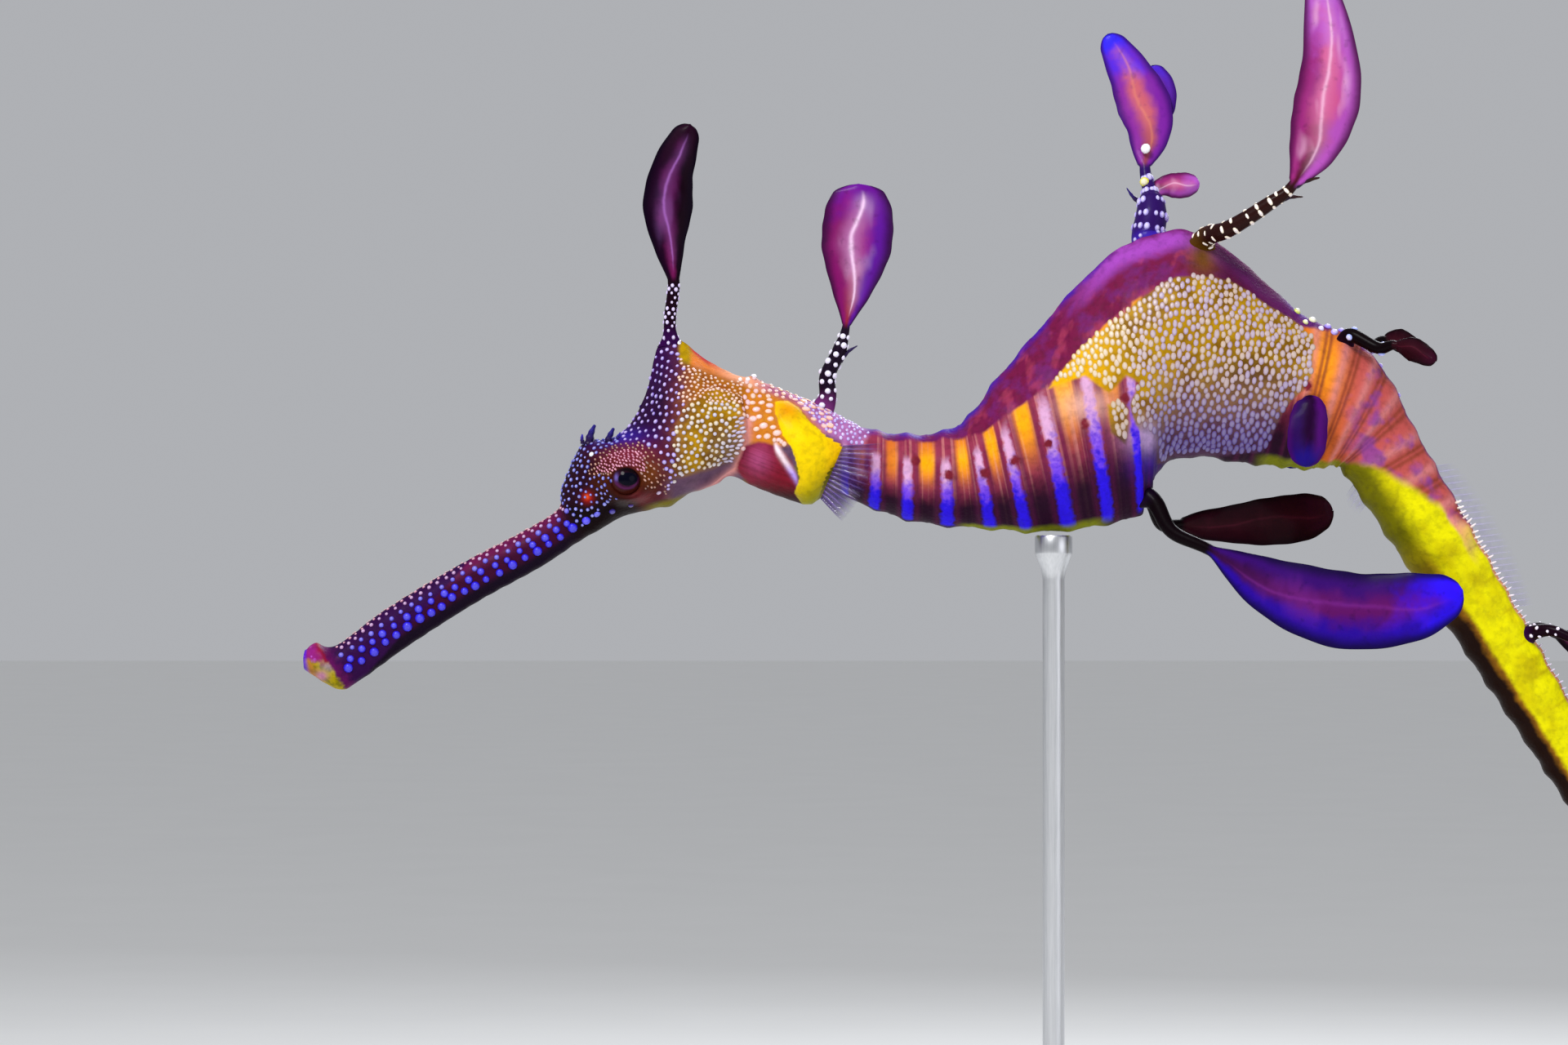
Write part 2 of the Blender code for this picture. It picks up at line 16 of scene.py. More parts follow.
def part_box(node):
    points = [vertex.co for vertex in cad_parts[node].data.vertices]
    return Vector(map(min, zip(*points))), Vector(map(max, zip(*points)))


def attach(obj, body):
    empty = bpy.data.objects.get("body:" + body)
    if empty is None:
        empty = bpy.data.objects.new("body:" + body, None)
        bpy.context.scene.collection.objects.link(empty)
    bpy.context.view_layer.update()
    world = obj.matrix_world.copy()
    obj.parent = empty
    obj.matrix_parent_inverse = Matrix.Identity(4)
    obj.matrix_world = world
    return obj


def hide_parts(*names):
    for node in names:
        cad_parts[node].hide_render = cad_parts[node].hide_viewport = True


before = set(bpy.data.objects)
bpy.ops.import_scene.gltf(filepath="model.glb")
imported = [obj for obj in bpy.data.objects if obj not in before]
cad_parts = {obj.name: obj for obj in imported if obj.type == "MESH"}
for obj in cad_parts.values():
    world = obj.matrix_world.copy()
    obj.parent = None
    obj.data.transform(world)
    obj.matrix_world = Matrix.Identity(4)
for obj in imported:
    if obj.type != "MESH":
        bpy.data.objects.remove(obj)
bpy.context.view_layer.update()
EYE_LOW, EYE_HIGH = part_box("eye_left")
EYE = np.array([(EYE_LOW.x + EYE_HIGH.x) / 2, 0.0, (EYE_LOW.z + EYE_HIGH.z) / 2])
MM = 0.001  # metres in a millimetre
METRE = 1000.0  # millimetres in a metre
SIDES = ((-1, "left"), (1, "right"))  # the sign of Y on each side of the animal

# --- the body's sections ---
# X and Z of the back, X and Z of the belly, half width, sharpness of back and of belly.
SNOUT = (
    (-51.1, -26.8, -51.2, -30.4, 2.5, 1.0, 1.0),
    (-49.4, -25.7, -45.8, -33.5, 3.6, 1.0, 1.0),
    (-46.2, -26.1, -42.2, -32.0, 2.7, 1.0, 1.0),
    (-38.5, -20.5, -34.5, -26.5, 2.5, 1.0, 1.0),
    (-27.0, -13.5, -23.5, -19.5, 2.5, 1.0, 1.0),
    (-16.5, -8.0, -13.5, -14.0, 2.6, 1.0, 1.0),
)
HEAD = (
    (-11.0, -4.5, -7.5, -10.0, 3.0, 1.0, 1.0),
    (-10.5, -1.5, -4.0, -8.0, 3.8, 1.0, 1.0),
    (-8.5, 3.5, -0.5, -6.0, 5.2, 1.2, 1.1),
    (-6.5, 6.5, 3.5, -5.0, 6.4, 1.4, 1.2),
    (-3.0, 6.7, 7.0, -4.0, 7.0, 1.5, 1.2),
    (0.0, 8.5, 10.0, -2.5, 7.4, 1.8, 1.2),
    (3.0, 14.0, 12.5, -2.0, 7.8, 2.4, 1.2),
    (5.0, 21.5, 15.0, -1.0, 7.9, 3.2, 1.3),
    (8.5, 22.5, 16.5, 0.0, 7.8, 3.2, 1.4),
    (12.5, 19.5, 18.5, -0.5, 7.5, 2.4, 1.4),
)
NECK = (
    (17.5, 17.0, 21.0, -1.5, 7.1, 1.7, 1.3),
    (22.5, 15.5, 25.0, -3.0, 7.0, 1.4, 1.2),
    (27.5, 13.5, 29.0, -4.0, 6.6, 1.3, 1.1),
)
TRUNK = (
    (33.0, 11.0, 33.0, -2.2, 5.7, 1.1, 1.1),
    (38.0, 8.5, 37.5, -4.0, 5.6, 1.0, 1.2),
    (44.5, 7.5, 44.5, -6.5, 5.9, 1.0, 1.4),
    (50.5, 8.0, 51.0, -7.5, 6.3, 1.1, 1.5),
    (54.5, 10.5, 58.0, -8.0, 6.9, 1.3, 1.6),
    (59.0, 16.5, 65.0, -8.5, 7.6, 1.6, 1.6),
    (65.0, 23.5, 72.0, -8.0, 8.3, 1.8, 1.6),
    (71.0, 30.5, 77.5, -7.0, 8.9, 1.9, 1.5),
    (77.5, 36.5, 82.0, -5.5, 9.3, 2.0, 1.5),
    (83.0, 39.0, 83.7, -1.5, 9.5, 2.0, 1.3),
    (89.0, 40.0, 85.8, 2.4, 9.5, 1.9, 1.1),
    (95.5, 37.0, 91.5, 3.5, 9.4, 1.8, 1.0),
    (102.0, 31.5, 98.0, 2.5, 8.9, 1.7, 1.0),
    (108.5, 26.0, 103.5, 2.0, 8.1, 1.5, 1.0),
    (115.5, 23.0, 108.5, 1.5, 7.3, 1.3, 1.0),
    (121.2, 16.9, 112.5, 2.0, 6.5, 1.1, 0.9),
)
TAIL_ROOT = (120.1, 4.2)
TAIL_LENGTH = 214.0
TAIL_STATIONS = 16
TAIL_HEADING = -58.0
TAIL_BEND_START = 0.26
TAIL_BEND = -82.0
TAIL_BEND_POWER = 1.25
TAIL_SWAY = 14.0
TAIL_SWAY_POWER = 1.6
TAIL_DEPTH = 12.2
TAIL_TIP_DEPTH = 1.3
TAIL_TAPER = 1.35
TAIL_FLATNESS = 0.42
TAIL_BOXINESS = 0.8
RIDGE_RADIUS = 0.7
# Swellings of the sides: place in (x, z), reach in x and z, height.
BULGES = ((0.3, 0.6, 4.6, 4.2, 1.1), (12.0, 5.0, 6.0, 6.6, 1.3), (28.0, 3.6, 4.2, 7.0, 1.3))

HEAD_AT = len(SNOUT)
NECK_AT = HEAD_AT + len(HEAD)
TRUNK_AT = NECK_AT + len(NECK)
TAIL_AT = TRUNK_AT + len(TRUNK)
LAST = TAIL_AT + TAIL_STATIONS - 1

COAT_DEPTH = 0.2  # how far the skin lies inside the solids
THIN = 1.2  # half width below which the relief fades
AROUND = 112  # points round the skin
# Stations with the row of the skin that reaches them.
ROWS_TO = ((0, 0), (HEAD_AT, 96), (NECK_AT, 216), (TRUNK_AT, 266), (TAIL_AT, 490), (LAST, 770))

# --- places on the side of the body, as outlines in (x, z) ---
GILL_COVER = (
    (5.8, -3.6), (6.2, 2.0), (7.2, 8.0), (9.5, 12.5), (14.0, 14.8), (18.2, 13.6), (19.3, 9.2),
    (19.0, 4.9), (17.3, 1.7), (13.4, -1.2),
)
THROAT_FLESH = (
    (18.9, 5.2), (17.2, 1.0), (20.0, -1.6), (24.4, -3.8), (28.2, -4.4), (27.6, -0.5), (26.2, 3.0),
    (24.2, 5.4), (21.0, 6.0),
)
FIN_PAD = (
    (23.7, 12.5), (25.7, 12.7), (27.5, 11.6), (29.1, 9.4), (31.7, 7.2), (34.9, 5.3), (34.1, 2.9),
    (32.3, 1.2), (31.5, -0.8), (30.9, -2.6), (29.7, -4.2), (28.0, -4.0), (26.7, -2.3), (27.5, 0.4),
    (26.9, 2.9), (26.3, 4.8), (24.9, 7.0), (23.7, 10.4),
)
SADDLE = (
    (26.6, 13.6), (28.6, 10.6), (31.6, 7.6), (35.0, 5.6), (37.4, 5.2), (38.6, 7.6), (34.0, 11.4),
    (30.0, 13.4),
)
CREST_BACK = (
    (7.4, 24.0), (8.0, 20.0), (9.4, 18.2), (12.8, 16.6), (16.4, 15.4), (19.0, 16.2), (24.0, 14.4),
    (30.0, 13.0), (24.0, 20.0), (12.0, 24.0),
)
HUMP_PATCH = (
    (66.7, 14.3), (69.3, 17.7), (71.9, 20.8), (75.0, 23.4), (78.3, 25.7), (80.6, 28.1), (82.8, 29.5),
    (85.2, 31.2), (87.0, 32.0), (91.5, 32.2), (95.6, 31.5), (98.4, 30.0), (102.2, 27.4), (106.2, 25.2),
    (108.9, 22.5), (108.6, 19.6), (108.3, 16.3), (107.1, 14.4), (105.4, 12.7), (104.0, 11.1),
    (102.4, 7.5), (101.0, 4.4), (92.7, 3.5), (87.0, 3.3), (84.4, 2.3), (84.0, 6.1), (80.6, 8.1),
    (79.7, 10.4), (79.4, 12.2), (81.1, 15.1), (78.8, 16.3), (76.2, 13.7), (74.2, 15.1), (72.4, 16.3),
    (68.4, 15.1),
)
HUMP_ISLAND = ((76.0, 11.8), (78.8, 12.0), (79.4, 8.0), (79.0, 5.4), (76.6, 7.4))
SIDE_KNOBS = (
    (45.9, 3.0), (51.1, 0.7), (56.9, 1.0), (61.5, 3.0), (66.7, 5.6), (72.5, 8.8), (78.8, 12.9),
    (107.6, 14.7),
)
# Stations with how far the back's dark band reaches down from the ridge.
BACK_BAND = (
    (19, 0.9), (22, 1.4), (22.8, 2.8), (23.75, 5.6), (24.5, 7.6), (25.2, 9.0), (26.85, 9.6), (28.3, 9.2),
    (29.4, 8.0), (30.3, 6.4), (31.4, 4.2), (32.0, 1.6), (32.5, 0.5), (35, 0.3),
)
# Stations with the number of bony rings counted to there from the shoulder.
RING_MARKS = (
    (19.2, -1.2), (20.3, 0), (21, 1), (22, 2), (23, 3), (23.8, 4), (24.75, 5), (25.85, 6), (27, 7),
    (28, 8.1), (29, 9.2), (30, 10.3), (31, 11.5), (32, 12.8), (33, 14.2), (34, 15.6), (35, 17),
)
TAIL_RING = 5.8  # length of one ring of the tail
TAIL_RING_GROWTH = 0.004  # how much sooner each further ring comes
ORBIT = (0.2, -0.38)

# --- flaps: leaves on stalks ---
# A leaf's outline is its share of the full width at each tenth of its length.
LANCE = (0.20, 0.42, 0.64, 0.82, 0.94, 1.0, 0.97, 0.88, 0.74, 0.55, 0.35)
PADDLE = (0.12, 0.29, 0.52, 0.72, 0.87, 0.97, 1.0, 0.98, 0.88, 0.71, 0.45)
BLADE = (0.24, 0.39, 0.58, 0.77, 0.93, 1.0, 0.96, 0.87, 0.75, 0.58, 0.42)
OAR = (0.20, 0.44, 0.72, 0.90, 0.98, 1.0, 0.96, 0.85, 0.68, 0.48, 0.30)
MITTEN = (0.25, 0.50, 0.72, 0.88, 0.98, 1.0, 0.95, 0.84, 0.70, 0.53, 0.34)
SCOOP = (0.14, 0.42, 0.70, 0.88, 0.97, 1.0, 0.99, 0.95, 0.83, 0.62, 0.40)
STUB = (0.30, 0.50, 0.65, 0.76, 0.86, 0.95, 1.0, 1.0, 0.90, 0.68, 0.40)
# A stalk's girth is its two radii, along the body and across it, at numbered points of its path.
# Point 0 lies under the skin.
SLIM = ((0, 1.7, 0.9), (0.6, 1.4, 1.0), (1, 1.15, 1.05), (3, 0.75, 0.75))
# A stalk's beads: rows, beads in a row, half size, length for width, tint, and where they start.
REAR_STALK_BEADS = (2, 3, 0.62, 1.1, "aab8ff", 0.52)
TAIL_STALK_BEADS = (4, 4, 0.3, 1.0, "f4e8ff", 0.52)
FLAPS = (
    dict(name="nape", root=(13.6, 90), stalk=((7.0, 0, 26.5), (7.4, 0, 29.4), (7.5, 0, 32.0)),
         leaf=((6.6, 0, 40.0), (7.1, 0, 48.5), (10.2, 0, 56.7)), rise=1.15,
         girth=((0, 2.2, 0.5), (0.35, 1.6, 0.7), (0.6, 1.2, 0.85), (0.95, 0.97, 0.95), (4, 0.95, 0.95)),
         width=7.9, outline=BLADE, paint="plum", curl=0.5, beads=(13, 5, 0.3, 1.15, "c8b4e4", 0.1)),
    dict(name="neck", root=(18.7, 90), stalk=((32.0, 0, 16.6), (33.8, 0, 20.4), (35.0, 0, 24.6)),
         leaf=((36.2, 0, 33.0), (36.9, 0, 41.0), (37.0, 0, 47.2)), rise=1.25,
         girth=((0, 2.3, 0.6), (0.5, 1.8, 0.9), (1, 1.4, 1.15), (2, 1.25, 1.25), (3.2, 1.1, 1.1),
                (3.7, 0.75, 0.75), (4, 0.6, 0.6)),
         width=11.4, outline=PADDLE, paint="orchid", curl=0.4, beads=(9, 5, 0.48, 1.0, "e8e4f8", 0.35)),
    dict(name="hump_left", root=(29.45, 66),
         stalk=((95.3, -7.4, 39.6), (101.1, -9.5, 43.2), (105.2, -10.5, 46.5)),
         leaf=((109.2, -11.5, 55.0), (110.8, -12.5, 65.5), (108.5, -13.5, 81.5)), rise=1.35,
         girth=((0, 2.6, 1.3), (0.5, 2.1, 1.4), (1, 1.6, 1.5), (2, 1.35, 1.35), (3, 1.15, 1.15),
                (4, 0.8, 0.8)),
         width=10.2, outline=OAR, paint="salmon", curl=0.9, beads=(11, 5, 0.3, 2.0, "fff0d8", 0.52)),
    dict(name="hump_right", root=(28.15, 116),
         stalk=((83.9, 4.6, 42.5), (83.8, 6.2, 46.0), (83.1, 8.0, 50.5)),
         leaf=((83.8, 9.5, 57.5), (81.4, 10.5, 64.5), (77.2, 11.5, 72.0)), rise=2.0,
         girth=((0, 3.1, 1.6), (0.5, 2.9, 2.0), (1, 2.7, 2.4), (2, 2.5, 2.4), (2.7, 2.1, 2.1),
                (3.1, 1.15, 1.15), (4, 0.85, 0.85)),
         width=8.6, outline=MITTEN, paint="dusk", curl=-0.5, beads=(6, 12, 0.46, 1.3, "a090e0", 0.52)),
    dict(name="rear_left", root=(32.9, 60), stalk=((118.9, -6.4, 20.8), (121.2, -8.2, 21.2)),
         leaf=((124.0, -10.5, 20.4), (127.0, -13.5, 18.5)), rise=1.1,
         girth=SLIM, width=3.8, outline=LANCE, paint="shade", curl=0.3, beads=REAR_STALK_BEADS),
    dict(name="rear_right", root=(32.9, 120), stalk=((119.0, 6.4, 21.4), (121.4, 8.2, 22.6)),
         leaf=((124.3, 10.5, 22.6), (127.5, 13.5, 21.4)), rise=1.1,
         girth=SLIM, width=3.8, outline=LANCE, paint="shade", curl=-0.3, beads=REAR_STALK_BEADS),
    dict(name="belly_left", root=(27.35, -70), stalk=((86.5, -4.6, -8.2), (92.5, -6.5, -11.2)),
         leaf=((102.6, -8.5, -17.2), (113.4, -10.5, -20.6), (123.6, -12.0, -20.0), (131.4, -13.0, -17.4)),
         rise=1.2, girth=((0, 2.2, 1.1), (0.5, 1.8, 1.2), (1, 1.35, 1.2), (3, 0.9, 0.9)),
         width=12.0, outline=SCOOP, paint="violet", curl=0.7, beads=None),
    dict(name="belly_right", root=(27.35, -110), stalk=((85.6, 4.6, -7.0), (88.8, 6.5, -7.2)),
         leaf=((97.5, 9.5, -7.0), (107.0, 12.5, -6.2), (114.0, 15.0, -4.8)), rise=1.1,
         girth=((0, 2.0, 1.0), (0.5, 1.7, 1.1), (1, 1.2, 1.1), (3, 1.0, 1.0)),
         width=7.9, outline=STUB, paint="shade", curl=-0.4, beads=None),
)
LONE_LEAVES = (  # name, path, radius at the foot, width, outline, curl, paint, nodes
    ("hump_side", ((84.0, 7.6, 46.4), (86.4, 8.2, 47.4), (89.0, 8.6, 47.5), (92.0, 9.0, 47.9)),
     0.7, 4.2, STUB, 0.2, "salmon", ("leaf_hump_side",)),
    ("hump_lobe", ((82.9, 9.3, 52.0), (84.4, 10.3, 58.2), (85.5, 11.1, 63.0), (84.4, 11.6, 67.0)),
     0.8, 6.2, LANCE, -0.4, "lobe", ()),
)
STALK_PEARLS = (  # place, facing, tint, half size
    ((83.2, 7.2, 53.3), (-0.5, -0.8, 0.1), "ffffff", 0.85),
    ((82.9, 6.2, 47.9), (-0.2, -1.0, 0.0), "e8e020", 0.80),
)
VENT_LEAF = dict(root=(32.35, -8), drop=9.6, lean=-1.0, width=6.3, radius=0.9, splay=2.0)
TAIL_LEAVES = (  # name, share of the tail, length of the stalk and of the leaf, width
    ("tail_front", 0.172, 6.5, 25.0, 8.0),
    ("tail_mid", 0.47, 6.0, 19.0, 6.4),
    ("tail_end", 0.73, 4.0, 12.0, 4.4),
)
TAIL_LEAF_ANGLE = 58.0
# Points of a tail leaf, as shares of its length out from the body and towards the tail.
TAIL_LEAF_CURVE = ((0.25, 0.28), (0.4, 0.62), (0.42, 0.95))
SPINES = (  # name, foot, tip, radius, colour at the tip
    ("brow_1", (-6.9, 1.4, 5.8), (-7.0, 1.7, 7.3), 0.36, "3a2ca0"),
    ("brow_2", (-5.9, 1.5, 5.6), (-5.0, 1.9, 8.8), 0.80, "241a78"),
    ("brow_3", (-2.9, 1.5, 5.4), (-2.0, 2.0, 8.3), 0.75, "241a78"),
    ("brow_4", (-1.4, 1.6, 6.2), (-0.9, 1.9, 7.6), 0.36, "3a2ca0"),
)
THORNS = (
    ("neck_thorn", (34.0, 0.0, 19.0), (36.8, 0.0, 21.4), 0.5, "24104a"),
    ("hump_thorn", (82.4, 6.0, 44.4), (80.0, 5.6, 46.9), 0.5, "2a1a6a"),
    ("stalk_thorn_1", (104.4, -10.2, 45.6), (109.2, -11.0, 47.4), 0.8, "2a100a"),
    ("stalk_thorn_2", (102.6, -9.8, 43.8), (106.6, -10.6, 44.4), 0.6, "2a100a"),
)
GAP = 0.3  # between the skin and a stalk
BLADE_THICKNESS = 1.5
THINNEST = 0.03  # least radius of a flap
TIP_FROM = 0.90  # share of a leaf's length where it rounds off
FLAP_COLUMNS = 28
LEAF_ROWS = 64
SPINE_ROWS = 16
SPINE_COLUMNS = 14

# --- fins and eyes ---
FIN_ROWS = 12
FIN_HALF = 0.1  # half its thickness
BREAST_FIN_TOP = (34.4, 5.4)
BREAST_FIN_BOTTOM = (30.9, -2.9)
BREAST_FIN_Y = (6.6, 8.6)  # of its root and of its edge
BREAST_FIN_COLUMNS = 90
BREAST_FIN_RAYS = 14
TAIL_FINS = (  # name, node, first and last share of the tail, height, turn, rays
    ("fin_back", "dorsal_fin", 0.03, 0.15, 4.4, 90, 24),
    ("fin_vent", "anal_fin", 0.012, 0.03, 2.6, -90, 4),
)
EYE_RADIUS = 2.9
EYE_Y = 5.6
CORNEA_HEIGHT = 0.12
CORNEA_WIDTH = 0.45  # in radians from the eye's axis
EYE_ROWS = 40
EYE_COLUMNS = 56

# --- beads ---
BEAD_SIDES = 10
BEAD_RINGS = 6
BEAD_CUT = -0.3  # where the lower part of a ball is cut away, for a radius of 1
MAP_PATCH = 0.0015  # half the width of a bead's patch on the unwrap
CROWN_HIGHLIGHT = 0.55  # strength of the painted highlight on a bead's crown, unless said
ZONE_SEED = 100
SNOUT_SEED = 7
LIKE_SIZES = (0.88, 1.12)  # how much beads of a kind differ in size
MIXED_SIZES = (0.7, 1.18)
MIXED_KINDS = ("crest", "brow", "shoulder")
STALK_BEAD_MISSING = 0.1  # share of a stalk's beads that are left out
STALK_BEAD_STRAY = 0.12  # how far they stray, as a share of their spacing
TRIES = 30  # random spots for each bead wanted
CLOSENESS = 0.8  # least distance of the first beads, as a share of the spacing
SETTLING_ROUNDS = 12
TEETH = 66  # small pale beads along the tail's upper edge
TEETH_FROM = 35.9  # station of the first
TEETH_STEP = 0.062
TEETH_GROWTH = 0.004
TEETH_TURN = 68

# --- stand, floor, light and camera ---
BOARD_CORNER = 20.0
BOARD_CORNER_STEPS = 16
BOARD_BEVEL = 1.5
BOARD_BEVEL_STEPS = 6
BOARD_RIM = 12  # how far the rows of faces inside the bevel reach
TURNED_SIDES = 64
SHARP = math.radians(35)
# Profiles: radii at the foot, then radii with their depths below the top.
POST = (
    (0.5, 1.75),
    ((1.75, 7), (2.0, 5.6), (2.6, 3.8), (2.95, 3), (3.0, 2.7), (3.0, 0.3), (2.8, 0), (0.5, 0)),
)
FOOT_RING = ((1.85, 6.0), ((6.0, 1.2), (5.8, 0.5), (5.3, 0.1), (4.8, 0), (2.4, 0), (1.85, 0.4)))
FLOOR_REACH = 6
LAMPS = (  # name, place, size, power, colour; in metres and watts
    ("key", (-0.35, -0.65, 0.95), 0.4, 9, (1, 1, 1)),
    ("fill", (0.8, -0.7, 0.35), 0.7, 1.5, (0.95, 0.95, 1.0)),
    ("back", (0.25, 0.8, 0.7), 0.5, 6, (0.92, 0.95, 1.0)),
)
LAMP_AIM = (0, 0, 0.2)
SKY_COLOUR = (0.93, 0.95, 1.0, 1)
SKY_STRENGTH = 0.46
LENS = 115.4
FILM_WIDTH = 36
NEAREST_SEEN = 0.05
CAMERA_FROM_EYE = (0.02509, -0.8, -0.00676)


# --- small tools ---
def soft(value, low, high):
    """Rises smoothly from 0 at low to 1 at high. low may be above high."""
    t = np.clip((value - low) / (high - low), 0, 1)
    return t * t * (3 - 2 * t)


def bell(value, width):
    """Falls smoothly from 1 at 0 to about a third at width, and on to nothing."""
    return np.exp(-((value / width) ** 2))


def paint(code):
    """A colour from its usual six-figure code, in the linear values that shaders use."""
    parts = [int(code[i : i + 2], 16) / 255 for i in (0, 2, 4)]
    return tuple(p / 12.92 if p < 0.04 else ((p + 0.055) / 1.055) ** 2.4 for p in parts) + (1.0,)


def smooth(table, u):
    """Rows of a table at stations u, on a curve through them (Catmull-Rom)."""
    last = len(table) - 1
    u = np.asarray(u, float)
    k = np.clip(u.astype(int), 0, last - 1)
    t = (u - k)[..., None]
    p0, p1, p2, p3 = (table[np.clip(k + j, 0, last)] for j in (-1, 0, 1, 2))
    cubic = (3 * p1 - p0 - 3 * p2 + p3) * t**3
    return 0.5 * (2 * p1 + (p2 - p0) * t + (2 * p0 - 5 * p1 + 4 * p2 - p3) * t * t + cubic)


def inside(outline, x, z):
    """Distance in from an outline's edge, negative outside it."""
    corners = np.array(outline, float)
    nearest = np.full(x.shape, 1e9)
    crossings = np.zeros(x.shape, int)
    for (ax, az), (bx, bz) in zip(corners, np.roll(corners, -1, axis=0)):
        dx, dz = bx - ax, bz - az
        t = np.clip(((x - ax) * dx + (z - az) * dz) / (dx * dx + dz * dz), 0, 1)
        nearest = np.minimum(nearest, np.hypot(x - ax - t * dx, z - az - t * dz))
        spans = (az > z) != (bz > z)
        crossings += spans & (x < ax + dx * (z - az) / (dz if dz else 1e-9))
    return np.where(crossings % 2 == 1, nearest, -nearest)


def full_turn(count):
    """Evenly spaced angles round a circle."""
    return np.arange(count) * 2 * math.pi / count


def unit(vectors):
    """The same directions with length 1."""
    return vectors / np.maximum(np.linalg.norm(vectors, axis=-1, keepdims=True), 1e-12)


# --- the body's shape ---
def tail_rows():
    """Sections along the bending, tapering tail."""
    step = TAIL_LENGTH / (TAIL_STATIONS - 1)
    centre, rows = np.array(TAIL_ROOT), []
    for i in range(TAIL_STATIONS):
        share = i / (TAIL_STATIONS - 1)
        bent = max(0.0, share - TAIL_BEND_START) / (1 - TAIL_BEND_START)
        heading = math.radians(TAIL_HEADING + TAIL_BEND * bent**TAIL_BEND_POWER)
        along = np.array([math.cos(heading), math.sin(heading)])
        depth = TAIL_DEPTH * (1 - share) ** TAIL_TAPER + TAIL_TIP_DEPTH
        half = np.array([-along[1], along[0]]) * depth / 2
        rows.append([*(centre + half), *(centre - half), TAIL_FLATNESS * depth, TAIL_BOXINESS, TAIL_BOXINESS])
        centre = centre + along * step
    return rows


ROWS = np.array([*SNOUT, *HEAD, *NECK, *TRUNK, *tail_rows()])


def tail_station(share):
    return TAIL_AT + share * (TAIL_STATIONS - 1)


def sway(u):
    """How far the body lies to its right, at a station."""
    return TAIL_SWAY * (np.maximum(0.0, u - TAIL_AT) / (TAIL_STATIONS - 1)) ** TAIL_SWAY_POWER


def bare_body(u, turn):
    """Points of the solid body, before any relief."""
    row = smooth(ROWS, u)
    side, up = np.cos(turn), np.sin(turn)
    power = np.where(up > 0, row[..., 5], row[..., 6])
    half = (row[..., 0:2] - row[..., 2:4]) / 2
    middle = (row[..., 0:2] + row[..., 2:4]) / 2 + half * up[..., None]
    reach = (row[..., 4] - RIDGE_RADIUS) * np.abs(side) ** power + RIDGE_RADIUS * np.abs(side)
    for bx, bz, rx, rz, height in BULGES:
        away = np.hypot((middle[..., 0] - bx) / rx, (middle[..., 1] - bz) / rz)
        reach = reach + height * bell(away, 1) * np.abs(side)
    y = sway(u) - np.sign(side) * reach
    return np.stack([middle[..., 0], y, middle[..., 1]], axis=-1)


def body_spot(u, degrees):
    """A point of the solid body and the outward direction there."""
    turn, step = math.radians(degrees), 0.02
    here, ahead, behind, above, below = bare_body(
        np.array([u, u + step, u - step, u, u]), np.array([turn, turn, turn, turn + step, turn - step])
    )
    out = unit(np.cross(above - below, ahead - behind))
    opposite = bare_body(np.array([u]), np.array([turn + math.pi]))[0]
    return here, out if np.dot(out, here - opposite) > 0 else -out


def trail_at(u, degrees, step):
    """The direction along the body's surface towards the tail."""
    return unit(body_spot(u + step, degrees)[0] - body_spot(u - step, degrees)[0])


def ring_count(u):
    """Bony rings counted from the shoulder."""
    marks = list(RING_MARKS)
    pace = TAIL_LENGTH / (TAIL_STATIONS - 1) / TAIL_RING
    marks += [(TAIL_AT + i, 17 + pace * i * (1 + TAIL_RING_GROWTH * i)) for i in range(1, TAIL_STATIONS)]
    stations, counts = np.array(marks).T
    return np.interp(u, stations, counts)


def skin_fields(u, turn, x, z):
    """Named measures of each place on the skin. The finishes and the beads both follow them."""
    row = smooth(ROWS, u)
    depth = np.hypot(row[..., 0] - row[..., 2], row[..., 1] - row[..., 3])
    height = np.sin(turn)
    return {
        "station": u,
        "height": height,
        "below": depth * (1 - height) / 2,
        "ring": ring_count(u),
        "gill": inside(GILL_COVER, x, z),
        "flesh": inside(THROAT_FLESH, x, z),
        "pad": inside(FIN_PAD, x, z),
        "saddle": inside(SADDLE, x, z),
        "patch": np.maximum(inside(HUMP_PATCH, x, z), inside(HUMP_ISLAND, x, z)),
        "band": depth * (1 - height) / 2 - np.interp(u, *np.array(BACK_BAND).T),
        "knob": np.min([np.hypot(x - kx, z - kz) for kx, kz in SIDE_KNOBS], axis=0),
        "orbit": np.hypot(x - ORBIT[0], z - ORBIT[1]),
    }


